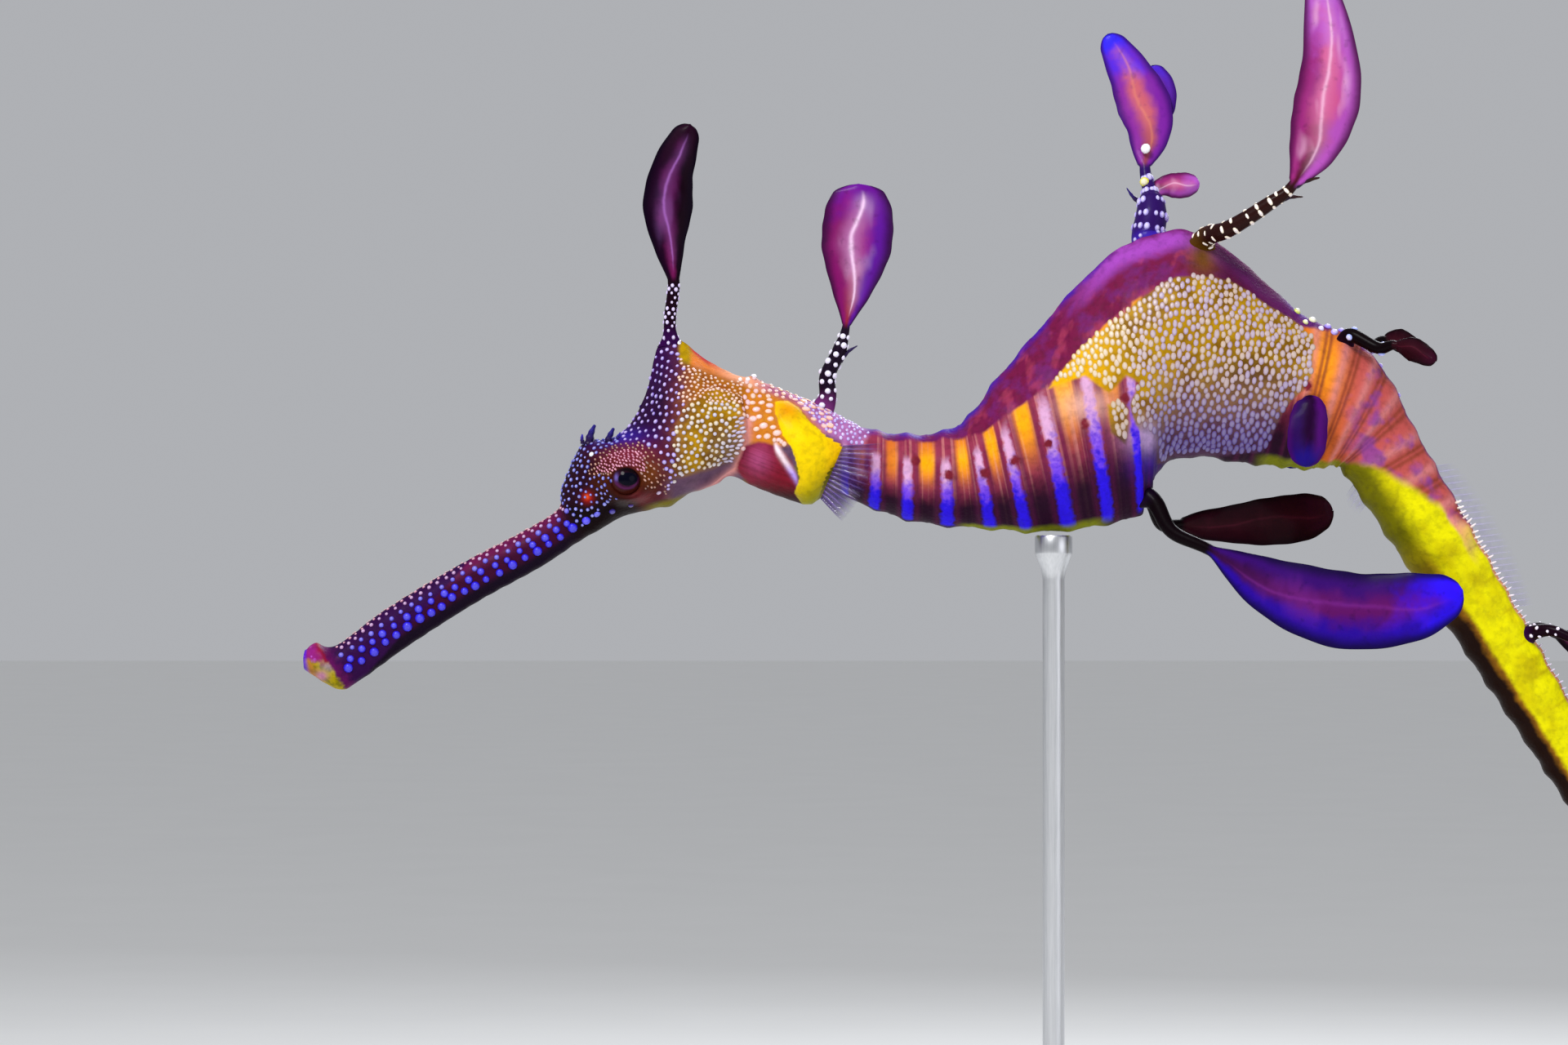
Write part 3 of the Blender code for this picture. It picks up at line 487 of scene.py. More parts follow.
def relief(f, x, z):
    """How far the skin stands out from its even shape, in millimetres."""
    phase = f["ring"] - np.round(f["ring"])
    ridge = bell(phase, 0.17) - 0.5 * bell(np.abs(phase) - 0.4, 0.12)
    trunk = soft(f["station"], 19.6, 20.4) * soft(f["station"], 36.5, 34.5)
    tail = soft(f["station"], 34.5, 36.5)
    calm = 1 - 0.8 * soft(f["patch"], -1.5, 1.0) - 0.6 * soft(f["band"], 1.0, -1.0) * soft(x, 55, 70)
    thin = soft(f["station"], LAST, TAIL_AT)
    lift = ridge * (0.30 * trunk * np.maximum(calm, 0.1) + tail * (0.06 + 0.2 * thin))
    lift += 0.6 * bell(f["knob"], 0.85)
    side_line = 0.14 * trunk * soft(f["patch"], 0.5, -1.0) + 0.18 * tail * thin
    side_line *= bell(f["height"] + 0.03, 0.10)
    upper_line = bell(f["height"] - 0.80, 0.07) * 0.22 * tail * thin
    rear = soft(x, 8.5, 13.0)
    rim = 0.38 * bell(f["gill"] - 0.55, 0.5)
    rim -= 0.42 * soft(f["gill"], 0.25, -0.25) * soft(f["gill"], -4.0, -0.6)
    lift += side_line + upper_line + rear * rim
    lift += 0.42 * soft(f["pad"], -0.2, 0.7) + 0.35 * soft(f["pad"], 0.3, 2.6)
    lift += 0.8 * bell(np.hypot(x - 20.2, z - 16.7), 1.0) * soft(f["height"], 0.8, 0.95)
    lift += 0.45 * bell(np.hypot(x - 6.9, z + 3.5), 1.3)
    lift += 0.05 * np.sin(x * 1.9 + z) * np.sin(z * 1.6 - x * 0.7)
    return lift


def orbit_dish(points):
    """Draws the skin in to a rim round each eye, and under the eyeball within it."""
    x, y, z = points[..., 0], points[..., 1], points[..., 2]
    r = np.hypot(x - ORBIT[0], (z - ORBIT[1]) * 1.1)
    rim = 7.32 + 0.46 * bell(r - 2.75, 0.5) - 1.9 * soft(r, 2.35, 1.6) + 0.22 * bell(z - 3.3, 1.0)
    weight = soft(r, 4.9, 2.9) * soft(np.abs(y), 3.0, 5.0)
    points[..., 1] = np.sign(y) * (np.abs(y) * (1 - weight) + rim * weight)


def outward(points):
    """Unit normals of a closed tube's grid of points."""
    along = np.gradient(points, axis=0)
    around = np.roll(points, -1, axis=1) - np.roll(points, 1, axis=1)
    normals = unit(np.cross(around, along))
    centre = points.mean(axis=1, keepdims=True)
    return normals if np.sum(normals * (points - centre)) > 0 else -normals


def skin_grid():
    """The skin's points, row by row from the mouth to the tip of the tail, with their fields."""
    stops = np.array(ROWS_TO, float)
    u = np.interp(np.arange(stops[-1, 1] + 1), stops[:, 1], stops[:, 0])
    turn = full_turn(AROUND)
    u, turn = np.meshgrid(u, turn, indexing="ij")
    points = bare_body(u, turn)
    fields = skin_fields(u, turn, points[..., 0], points[..., 2])
    lift = relief(fields, points[..., 0], points[..., 2]) - COAT_DEPTH
    faded = np.minimum(1, smooth(ROWS, u)[..., 4] / THIN)
    points = points + outward(points) * (lift * faded)[..., None]
    orbit_dish(points)
    return points, fields


# --- meshes ---
def new_mesh(name, points, faces):
    """A smooth mesh from points in body millimetres."""
    mesh = bpy.data.meshes.new(name)
    mesh.from_pydata((points * MM + EYE).tolist(), [], faces)
    mesh.shade_smooth()
    return mesh


def tube(name, grid, fields=None):
    """A mesh over a grid of points: rows along, columns around, with its ends closed."""
    rows, columns = grid.shape[:2]
    spot = np.arange(rows * columns).reshape(rows, columns)
    beside = np.roll(spot, -1, axis=1)
    quads = np.stack([spot[:-1], beside[:-1], beside[1:], spot[1:]], axis=-1).reshape(-1, 4)
    flat = grid.reshape(-1, 3)
    a, b, c, d = (flat[quads[:, i]] for i in range(4))
    middles = grid.mean(axis=1).repeat(columns, axis=0)[quads[:, 0]]
    outwards = np.sum(np.cross(c - a, d - b) * (a - middles)) > 0
    row, column = np.meshgrid(np.arange(rows - 1), np.arange(columns), indexing="ij")
    corners = [(column, row), (column + 1, row), (column + 1, row + 1), (column, row + 1)]
    unwrap = [np.stack([v / (rows - 1), u / columns], axis=-1) for u, v in corners]
    unwrap = np.stack(unwrap, axis=2).reshape(-1, 4, 2)
    if not outwards:
        quads, unwrap = quads[:, ::-1], unwrap[:, ::-1]
    faces = quads.tolist()
    ends = [spot[0], spot[-1][::-1]] if outwards else [spot[0][::-1], spot[-1]]
    faces += [ends[0][::-1].tolist(), ends[1][::-1].tolist()]
    mesh = new_mesh(name, flat, faces)
    cap = np.concatenate([np.zeros((columns, 2)), np.ones((columns, 2))])
    layer = mesh.uv_layers.new(name="UVMap")
    layer.data.foreach_set("uv", np.concatenate([unwrap.reshape(-1, 2), cap]).ravel())
    for label, values in (fields or {}).items():
        mesh.attributes.new(label, "FLOAT", "POINT").data.foreach_set("value", values.ravel())
    return mesh


def linked(name, data):
    """A new object in the scene."""
    obj = bpy.data.objects.new(name, data)
    bpy.context.scene.collection.objects.link(obj)
    return obj


def piece(name, mesh, finish, nodes=()):
    """Makes a mesh a piece of the model. It may stand in for some of the solids' nodes."""
    obj = linked(name, mesh)
    mesh.materials.clear()
    mesh.materials.append(finish)
    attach(obj, "root")
    if nodes:
        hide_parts(*nodes)


# --- finishes ---
def add_node(tree, kind, settings, sockets):
    """A node of a kind, with its settings, then the values or links of its sockets."""
    made = tree.nodes.new(kind)
    for label, value in (settings or {}).items():
        setattr(made, label, value)
    for label, value in (sockets or {}).items():
        found = [s for s in made.inputs if label in (s.identifier, s.name)]
        feed(tree, made.inputs[label] if isinstance(label, int) else found[0], value)
    return made


def feed(tree, socket, value):
    """Links or sets a socket."""
    if isinstance(value, bpy.types.NodeSocket):
        tree.links.new(value, socket)
    else:
        socket.default_value = value


class Wire:
    """A number that changes over a surface, ready to be used in sums."""

    def __init__(self, finish, socket):
        self.finish, self.socket = finish, socket

    def sum_with(self, operation, *others):
        made = self.finish.node("ShaderNodeMath", {"operation": operation}, dict(enumerate(others)))
        return Wire(self.finish, made.outputs[0])

    def through(self, operation):
        """The result of an operation on this value alone."""
        return self.sum_with(operation, self)

    def __add__(self, other):
        return self.sum_with("ADD", self, other)

    def __sub__(self, other):
        return self.sum_with("SUBTRACT", self, other)

    def __rsub__(self, other):
        return self.sum_with("SUBTRACT", other, self)

    def __mul__(self, other):
        return self.sum_with("MULTIPLY", self, other)

    def __pow__(self, other):
        return self.sum_with("POWER", self, other)

    def __abs__(self):
        return self.through("ABSOLUTE")

    def at_least(self, other):
        return self.sum_with("MAXIMUM", self, other)

    def past_whole(self):
        """How far it is past the nearest whole number, from -0.5 to 0.5."""
        return self - self.through("ROUND")

    __radd__ = __add__
    __rmul__ = __mul__


class Finish:
    """A material whose colour is worked out from measures of the surface."""

    def __init__(self, name, **settings):
        self.material = bpy.data.materials.new(name)
        self.material.use_nodes = True
        self.tree = self.material.node_tree
        self.shader = self.tree.nodes["Principled BSDF"]
        for label, value in settings.items():
            self.shader.inputs[label.replace("_", " ")].default_value = value
        self.place = self.node("ShaderNodeTexCoord").outputs["Object"]

    def node(self, kind, settings=None, sockets=None):
        plain = {label: self.plain(value) for label, value in (sockets or {}).items()}
        return add_node(self.tree, kind, settings, plain)

    def plain(self, value):
        """What a socket takes. A colour may be given by its code."""
        if isinstance(value, Wire):
            return value.socket
        return paint(value) if isinstance(value, str) else value

    def measure(self, name):
        found = self.node("ShaderNodeAttribute", {"attribute_name": name})
        return Wire(self, found.outputs["Fac"])

    def side_view(self):
        """The surface's X and Z, in millimetres from the middle of the eyes."""
        parts = self.node("ShaderNodeSeparateXYZ", None, {"Vector": self.place}).outputs
        return [(Wire(self, parts[i]) - float(EYE[i])) * METRE for i in (0, 2)]

    def soft(self, value, low, high):
        sockets = {"Value": value, "From Min": low, "From Max": high}
        made = self.node("ShaderNodeMapRange", {"interpolation_type": "SMOOTHSTEP"}, sockets)
        return Wire(self, made.outputs["Result"])

    def bell(self, value, width):
        return ((abs(value) * (1 / width)) ** 2.0 * -1.0).through("EXPONENT")

    def noise(self, size, detail=2.0, stretch=(1, 1, 1)):
        """Soft noise from 0 to 1 whose lumps are about size millimetres across."""
        moved = self.node("ShaderNodeMapping", None, {"Vector": self.place, "Scale": stretch}).outputs[0]
        sockets = {"Vector": moved, "Scale": METRE / size, "Detail": detail}
        return Wire(self, self.node("ShaderNodeTexNoise", None, sockets).outputs[0])

    def cells(self, size):
        """Distance to the nearest of many scattered points, for pores and pebbling."""
        made = self.node("ShaderNodeTexVoronoi", None, {"Vector": self.place, "Scale": METRE / size})
        return Wire(self, made.outputs["Distance"])

    def streaks(self, value, pace):
        """Noise that changes only as a measure does, so that it runs in lines across it."""
        made = self.node("ShaderNodeTexNoise", {"noise_dimensions": "1D"}, {"W": value, "Scale": pace})
        return Wire(self, made.outputs[0])

    def spot(self, x, z, at, size):
        """A soft round spot in the side view, from 0 to 1."""
        return self.bell(x - at[0], size[0]) * self.bell(z - at[1], size[1])

    def spots(self, x, z, *rows):
        """Coats of round spots, each from its colour, place, reach along X and Z, and share."""
        return [(code, self.spot(x, z, (px, pz), (rx, rz)) * share) for code, px, pz, rx, rz, share in rows]

    def mix(self, under, over, amount):
        sockets = {"Factor_Float": amount, "A_Color": under, "B_Color": over}
        made = self.node("ShaderNodeMix", {"data_type": "RGBA"}, sockets)
        return next(s for s in made.outputs if s.identifier == "Result_Color")

    def coats(self, colour, *layers):
        """Lays coats over a colour in turn. Each is a colour and its share."""
        for over, share in layers:
            colour = self.mix(colour, over, share)
        return colour

    def set(self, label, value):
        feed(self.tree, self.shader.inputs[label], self.plain(value))

    def colour(self, value):
        self.set("Base Color", value)

    def bump(self, height, depth):
        """Raises the surface by height, from 0 to 1, times depth in millimetres."""
        sockets = {"Height": height, "Distance": depth * MM, "Strength": 1.0}
        self.set("Normal", self.node("ShaderNodeBump", None, sockets).outputs[0])


MEASURES = (
    "station", "height", "below", "ring", "gill", "flesh", "pad", "saddle", "patch", "band", "knob", "orbit",
)


def skin_finish():
    f = Finish("seadragon_skin", Coat_Weight=0.02, Coat_Roughness=0.2, Specular_IOR_Level=0.05)
    x, z = f.side_view()
    m = {name: f.measure(name) for name in MEASURES}
    blotch, grain = f.noise(4.0), f.noise(1.1)
    ragged = (blotch - 0.5) * 1.6 + (grain - 0.5) * 1.0
    colour = head_colours(f, x, z, m, ragged)
    trunk = trunk_colours(f, x, z, m, ragged, blotch, grain)
    colour = f.coats(
        colour,
        (trunk, f.soft(m["station"], 18.9, 19.5)),
        (tail_colours(f, m, ragged, blotch), tail_mask(f, m, ragged)),
    )
    colour = fin_base_colours(f, colour, x, z, m, ragged)
    f.colour(f.mix(colour, "12040c", (1 - f.soft(grain, 0.25, 0.6)) * 0.22))
    f.set("Roughness", 0.44 + 0.22 * grain)
    pebbles = 1 - f.soft(f.cells(0.55), 0.1, 0.7)
    f.bump(pebbles * 0.5 + grain * 0.35 + f.noise(0.35) * 0.15, 0.06)
    return f.material


def head_colours(f, x, z, m, ragged):
    cloud = f.noise(2.4)
    front = f.coats(
        "16042c",
        ("300436", cloud),
        ("240818", f.soft(x, -1.0, -5.0) * f.soft(z, 6.0, 3.0)),
        ("46082e", f.soft(z + ragged, 9.0, 3.0) * f.soft(x, -4.0, 2.0)),
        ("2e0440", f.soft(z + ragged, 12.0, 18.0)),
    )
    side = f.mix("12031a", "380628", f.soft(m["height"], -0.62, -0.2))
    snout = f.mix(side, "641046", f.soft(m["height"], 0.1, 0.85))
    face = f.coats(
        "240606",
        ("54200a", f.noise(0.9)),
        ("1c0506", f.soft(z, 0.0, -4.5) * f.soft(x, 4.5, 0.0)),
    )
    # Painted highlight: a lighter pink-orange patch above the eye.
    painted_highlight = f.spot(x, z, (0.6, 4.0), (4.2, 2.0))
    gold = f.mix("b8880a", "82580a", f.soft(cloud, 0.3, 0.7))
    orange = f.mix("b87410", "8e3c14", f.noise(2.0))
    ground = f.coats(
        orange,
        (gold, f.soft(m["gill"] + ragged * 0.5, -0.4, 1.6)),
        ("64504c", f.soft(x, 11.5, 16.5) * f.soft(z, 9.5, 5.0) * 0.75),
        (f.mix("d08a20", "c4641c", f.noise(1.5)), f.soft(x, 18.5, 20.0)),
        ("561c34", f.soft(x + ragged * 1.4 - z * 0.1, 10.6, 5.8) * 0.9),
    )
    back = f.soft(x - z * 0.10 + ragged * 1.3, 3.6, 8.4)
    crest = f.coats(
        "e07a2a",
        ("eda27c", f.soft(x, 12.0, 18.0)),
        ("b08c00", f.soft(x + ragged * 0.5, 11.0, 9.8)),
        ("a8507a", f.soft(x, 19.0, 24.0)),
    )
    mauve = f.mix("482c4e", "745668", cloud)
    rim = f.bell(m["gill"] + 0.15, 0.75) * f.soft(x, 10.0, 15.0) * f.soft(z, 11.0, 9.0)
    dark = f.soft(z, -3.0, -5.0) * f.soft(x, 3.5, 0.5) * f.soft(m["station"], 5.6, 6.6)
    flesh = f.coats(
        "86142a",
        # Painted highlight: a lighter pink patch on the throat flesh.
        ("b04a7a", f.spot(x, z, (21.0, 3.2), (2.0, 2.4))),
        ("520a14", f.soft(f.streaks(z + x * 0.4, 1.6), 0.4, 0.65) * 0.25),
        ("2c050a", f.soft(z + x * 0.12, 3.2, 0.0)),
        ("3a3c00", f.soft(z + x * 0.12, -0.2, -1.4) * f.soft(x, 22.0, 25.0)),
    )
    colour = f.coats(
        front,
        (snout, f.soft(m["station"], 6.8, 5.6)),
        (face, f.soft(m["orbit"] + ragged * 0.6, 6.8, 4.6)),
        (f.mix("6a1420", "8e2c48", cloud), painted_highlight * 0.7),
        *f.spots(
            x, z,
            ("80420e", 4.4, 1.2, 2.0, 2.0, 0.55),
            ("7a2430", 3.2, -2.9, 2.2, 1.1, 0.6),
            ("2c0a08", 5.4, -3.6, 1.8, 0.9, 0.8),
            ("2a1a9a", -1.2, 7.0, 4.4, 1.3, 0.8),
        ),
        (ground, back),
        (crest, f.soft(z + (x - 9.0) * 0.36, 18.0, 19.4) * f.soft(x + ragged * 0.25, 8.0, 8.9)),
        ("c02838", f.soft(m["band"], 0.3, -0.8) * f.soft(x, 9.6, 10.8) * f.soft(x, 16.0, 12.0)),
        ("2e0440", f.soft(z + ragged * 0.3 - (x - 7.6) * 1.1, 22.4, 23.4)),
        (mauve, f.soft(z - x * 0.295 + 2.0 + ragged * 0.3, 0.7, -0.7) * f.soft(x, 5.2, 8.0)),
        ("6e6400", f.soft(z - x * 0.26 + 4.9 + ragged * 0.3, 0.5, -0.5) * f.soft(x, 1.5, 5.5)),
        (f.mix("dc8470", "d89aa0", cloud), rim),
        ("100306", dark),
        (flesh, f.soft(m["flesh"] + ragged * 0.3, -0.3, 0.4)),
        *f.spots(
            x, z,
            ("a8160c", -6.0, -2.8, 0.9, 0.9, 0.9),
            ("e8521c", -6.1, -2.7, 0.4, 0.4, 0.9),
        ),
    )
    return mouth_colours(f, colour, x, z, m)


def mouth_colours(f, colour, x, z, m):
    u, h, fine = m["station"], m["height"], f.noise(0.9)
    jaw = f.coats(
        "a89400",
        ("7e7400", f.soft(fine, 0.4, 0.65)),
        ("b06a30", f.soft(u + (fine - 0.5) * 0.5, 0.75, 0.2) * 0.8),
        *f.spots(
            x, z,
            ("d084b0", -48.3, -31.1, 0.9, 0.7, 0.9),
            ("9a84a4", -47.2, -29.5, 1.0, 0.8, 0.7),
        ),
    )
    upper = f.coats(
        "8e1c7a",
        ("8a1230", f.soft(u + (fine - 0.5) * 0.6, 0.5, 1.3)),
        ("c060d0", f.soft(fine, 0.55, 0.68) * f.soft(u, 0.9, 0.3)),
    )
    lips = f.coats(
        jaw,
        (upper, f.soft(h + (fine - 0.5) * 0.5, -0.05, 0.35)),
        ("3a1cd8", f.soft(u, 0.3, 0.02) * 0.75),
        ("5a0c50", f.soft(u + (fine - 0.5) * 0.3, 1.2, 1.5)),
    )
    return f.coats(
        colour,
        (lips, f.soft(u + (fine - 0.5) * 0.5, 2.0, 1.5)),
        ("1c0410", f.soft(u, -0.05, -0.3)),
    )


def fin_base_colours(f, colour, x, z, m, ragged):
    lilac = f.mix("8a3a86", "c887c4", f.noise(1.5))
    off = (z - 4.2) + (x - 24.4) * 1.55
    fold = f.bell(off, 0.85) * f.soft(x, 23.2, 24.0) * f.soft(x, 27.6, 26.8)
    yellow = f.coats(
        "f4d000",
        ("e69a00", f.spot(x, z, (25.6, 11.0), (2.2, 1.8))),
        ("f4b400", f.soft(x, 30.5, 33.5) * 0.6),
        # Painted shade: darker olive towards the pad's lower edge.
        ("8a8600", f.soft(z - (x - 27) * 0.5, 0.0, -5.0)),
    )
    teeth = (z * 1.4).past_whole()
    edge = m["pad"] - abs(teeth) * f.soft(x, 30.0, 31.5) * 0.9 + ragged * 0.2
    return f.coats(
        colour,
        (lilac, f.soft(m["saddle"] + ragged * 0.4, -0.8, 0.8)),
        (f.mix("ffe6f0", "9a70ff", f.soft(z, 3.0, 0.6) * 0.7), fold),
        (yellow, f.soft(edge + (f.noise(0.7) - 0.5) * 0.5, -0.12, 0.22)),
    )


def trunk_colours(f, x, z, m, ragged, blotch, grain):
    phase = m["ring"].past_whole()
    gap = abs(phase)
    h = m["height"]
    lines = f.streaks(m["ring"], 7.0)
    ring_ground = f.coats(
        "90304c",
        ("d06a28", f.soft(gap, 0.22, 0.42) * f.soft(h, -0.4, 0.2)),
        ("c87a78", f.soft(lines, 0.5, 0.68) * 0.6),
    )
    # Painted highlight: bright yellow-orange in the upper middle of each hollow between rings.
    painted_highlight = f.soft(gap + (lines - 0.5) * 0.2, 0.24, 0.40) * f.bell(h - 0.34, 0.3) * f.soft(x, 40, 47)
    ring_ground = f.coats(
        ring_ground,
        ("ffaa00", painted_highlight * 0.95),
        # Painted shade: the trunk darkens to near black towards the belly.
        ("16031e", f.soft(h + ragged * 0.1, -0.1, -0.66) * 0.96),
        ("541240", f.bell(gap - 0.25, 0.08) * f.soft(h, 0.6, 0.1) * 0.5),
        *f.spots(
            x, z,
            ("f0b8a4", 72.5, 11.8, 4.0, 2.6, 0.75),
            ("b886b8", 80.8, 7.0, 3.0, 2.6, 0.7),
            ("3a14a0", 82.2, 2.6, 2.6, 2.6, 0.6),
        ),
    )
    rear = f.coats(
        "d06420",
        ("b8504c", f.soft(x, 110, 117)),
        ("ff9c14", f.spot(x, z, (110.4, 19.0), (2.8, 5.5))),
        ("dc8a8a", f.bell(phase - 0.1, 0.16) * 0.6),
        ("8a3c2a", f.bell(gap - 0.42, 0.07) * 0.8),
        ("7b3a9a", f.soft(blotch, 0.5, 0.68) * f.soft(x, 112, 118) * 0.7),
    )
    band = f.coats(
        "701440",
        ("6e1e62", f.soft(blotch + (f.noise(1.6) - 0.5) * 0.5, 0.42, 0.68)),
        ("a83a58", f.soft(f.noise(2.6, 2.0, (1, 1, 0.5)), 0.52, 0.68) * 0.55),
        ("a044b4", f.soft(m["below"] + ragged * 1.2, 4.6, 2.0) * f.soft(x, 68, 78)),
        ("44082e", f.soft(x, 89, 96) * 0.85),
        ("66206c", f.soft(x, 102, 109) * 0.7),
        ("6a440a", f.spot(x, z, (91.4, 35.6), (2.4, 3.6)) * 0.95),
    )
    ridge = f.soft(m["below"] + ragged * 0.8, 1.4, 0.2) * f.soft(x, 112, 106) * f.soft(blotch, 0.2, 0.6)
    rim = f.mix("3618a8", "6a1458", f.soft(x, 72, 80) * f.soft(x, 110, 102))
    yolk = f.coats(
        "b08408",
        ("7c540a", f.soft(blotch, 0.35, 0.7)),
        ("50340c", f.spot(x, z, (97.5, 16.5), (6.0, 3.6)) * 0.8),
        ("eeb000", f.soft(x + ragged, 80, 71)),
        ("341a34", f.soft(z + ragged, 12.5, 5.0) * 0.85),
        ("4c2c54", f.soft(z + ragged * 2.0, 20.0, 9.0) * f.soft(x, 81, 88) * 0.7),
    )
    bars = f.soft(gap + (grain - 0.5) * 0.2 + (h + 1.0) * 0.035, 0.215, 0.10)
    bars = bars * f.soft(h, -0.99, -0.93) * f.soft(h + ragged * 0.06, 0.50, 0.25)
    bars = bars * f.soft(m["ring"], 7.5, 7.2) * f.soft(m["patch"], 0.4, -0.3)
    tint = f.coats(
        "2c14e8",
        ("7a48e4", f.soft(h + (grain - 0.5) * 0.5, -0.58, -0.28)),
        ("d8a4cc", f.soft(h + (grain - 0.5) * 0.5, -0.34, 0.12)),
    )
    keel = f.soft(h, -0.9, -0.97) * f.soft(x, 52, 55) * f.soft(x, 78, 74)
    vent = f.soft(h, -0.84, -0.93) * f.soft(x, 99, 102)
    return f.coats(
        ring_ground,
        (rear, f.soft(x + z * 0.2, 107, 111)),
        (band, f.soft(m["band"] + ragged * 0.35, 0.35, -0.35)),
        (rim, ridge * 0.85),
        (yolk, f.soft(m["patch"] + ragged * 0.25, -0.35, 0.3)),
        ("b49ccc", f.spot(x, z, (82.2, 6.8), (2.0, 2.4)) * 0.7),
        (tint, bars),
        ("7a2030", f.soft(m["knob"] + (grain - 0.5) * 0.9, 1.1, 0.5)),
        ("7d8200", keel.at_least(vent) * 0.9),
    )


def tail_mask(f, m, ragged):
    """Where the yellow tail begins, along a slanting edge."""
    edge = m["height"] - (m["station"] - 34.9) * 1.2 + 0.62
    return f.soft(edge + ragged * 0.08, 0.16, -0.16) * f.soft(m["station"], 34.3, 34.7)


def tail_colours(f, m, ragged, blotch):
    u, h = m["station"], m["height"]
    gap = abs(m["ring"].past_whole())
    pink = f.mix("e8907c", "b45a9a", f.soft(blotch, 0.4, 0.65))
    return f.coats(
        "e8e000",
        ("c8b800", f.soft(blotch, 0.35, 0.75)),
        ("a88c00", f.soft(gap, 0.42, 0.5) * 0.35 * f.soft(h, 0.2, 0.6)),
        ("c0641c", f.soft(u + blotch * 3.0, 41.5, 49) * 0.75),
        (pink, f.soft(h + ragged * 0.08, 0.46, 0.6) * f.soft(u + h * 0.4, 36.9, 36.2)),
        ("e09a6a", f.soft(h, 0.84, 0.92) * f.soft(u, 40.6, 38.8)),
        ("6e6a00", f.soft(h + ragged * 0.12, -0.1, -0.7) * f.soft(u, 36.8, 35.8)),
        ("8a5a10", f.soft(h + ragged * 0.12, -0.28, -0.48) * f.soft(u, 35.9, 36.8)),
        ("1c0a04", f.soft(h + ragged * 0.14, -0.42, -0.64) * f.soft(u, 35.7, 37.2)),
    )


# Root, stalk, foot, middle, front half, back half, tip, edge, rib (a pale midrib under a painted highlight),
# strength of the rib and of the painted highlight clouds.
LEAF_PAINTS = {
    "plum": "2e0440 160210 641048 48063c 180018 10000c 1e0218 080010 b070c8 0.5 0.12",
    "orchid": "7a3078 14031a 8a2038 8c1478 780a5c 5a1090 640e8c 2c0330 f4d0f0 0.85 0.22",
    "salmon": "5a3a06 260a08 500c26 c44c86 902470 b04cb4 b45ac8 44063c f4c4e0 0.6 0.7",
    "dusk": "3a1eb0 2a0c5a 8a3a52 c0586a 842894 78209a 3224e4 300664 e08a6a 0.4 0.16",
    "violet": "1a0626 0a0206 32083c 560e58 320664 260690 2c10f0 0e0230 8a30a0 0.25 0.2",
    "lobe": "3a1eb0 2a0c5a 6a2a6a 78307c 6a2488 5820a0 4c24c8 300664 a060b0 0.2 0.2",
    "shade": "200820 0a0205 2a0610 2c0612 280512 24040e 30061c 120208 581a2c 0.4 0.16",
    "night": "1a0222 1a0222 22032e 1e0228 4a0868 26044c 1c0c70 3c0658 30063c 0.2 0.0",
}
DULL_LEAVES = ("plum", "violet", "shade", "night")


def leaf_finish(name):
    root, stalk, foot, middle, front, back, tip, edge, rib, *shares = LEAF_PAINTS[name].split()
    rib_and_sheen_share, sheen_share = map(float, shares)
    wet = 0.03 if name in DULL_LEAVES else 0.06
    f = Finish("leaf_" + name, Coat_Weight=wet, Coat_Roughness=0.14, Specular_IOR_Level=wet)
    t, across = f.measure("outward"), f.measure("across")
    cloud = f.noise(3.6, 3.0)
    wander = (cloud - 0.5) * 0.7
    from_rib = across + (t * 9.0).through("SINE") * 0.16 + wander * 0.2
    ends = f.soft(t, 0.04, 0.2) * f.soft(t, 0.93, 0.8)
    # Clouds of painted highlight over the blade.
    sheen_clouds = f.soft(f.noise(4.2, 2.0, (1, 1, 0.4)), 0.52, 0.72) * f.soft(abs(across), 0.8, 0.3)
    blade = f.coats(
        foot,
        (middle, f.soft(t + wander * 0.5, 0.07, 0.48)),
        (front, f.soft(across + wander, 0.05, 0.6)),
        (back, f.soft(across + wander, -0.05, -0.6)),
        (tip, f.soft(t + wander * 0.6, 0.62, 0.95)),
        # The rib: a pale midrib, with a wide painted sheen and a narrow painted highlight streak along it;
        # then the painted highlight clouds.
        (rib, f.bell(from_rib, 0.3) * ends * rib_and_sheen_share * 0.22),
        (rib, f.bell(from_rib, 0.06) * ends * rib_and_sheen_share * (0.6 + cloud * 0.6)),
        (rib, sheen_clouds * ends * sheen_share),
        (edge, f.soft(abs(across) + wander * 0.2, 0.6, 0.98) * 0.9),
        (edge, f.soft(f.noise(1.3), 0.55, 0.8) * 0.3),
    )
    stem = f.mix(root, stalk, f.soft(t + wander * 0.15, -0.92, -0.62))
    f.colour(f.mix(stem, blade, f.soft(t, -0.03, 0.04)))
    f.set("Roughness", 0.36 + 0.18 * cloud)
    f.bump(f.noise(0.8, 2.0, (0.35, 1, 0.35)) * 0.6 + f.noise(0.5) * 0.4, 0.05)
    return f.material


def bead_finish(name, rim):
    f = Finish(name, Roughness=0.35, Coat_Weight=0.12, Coat_Roughness=0.12, Specular_IOR_Level=0.22)
    given = f.node("ShaderNodeAttribute", {"attribute_name": "tint"})
    tint, crown_highlight = given.outputs["Color"], Wire(f, given.outputs["Alpha"])
    crown = f.measure("crown") + (f.noise(0.7) - 0.5) * 0.2
    foot = f.mix(tint, rim, 0.5)
    # A pale painted highlight over the top of each bead, as strong as the tint's alpha says.
    f.colour(f.coats(foot, (tint, f.soft(crown, -0.1, 0.4)), ("f0ecff", f.soft(crown, 0.4, 0.95) * crown_highlight)))
    f.bump(f.noise(0.3), 0.02)
    return f.material


def off_centre(x, z, at, squash):
    """Distance from a centre in the side view, with heights counted squash times as much."""
    dx, dz = x - at[0], z - at[1]
    return (dx * dx + dz * dz * squash) ** 0.5


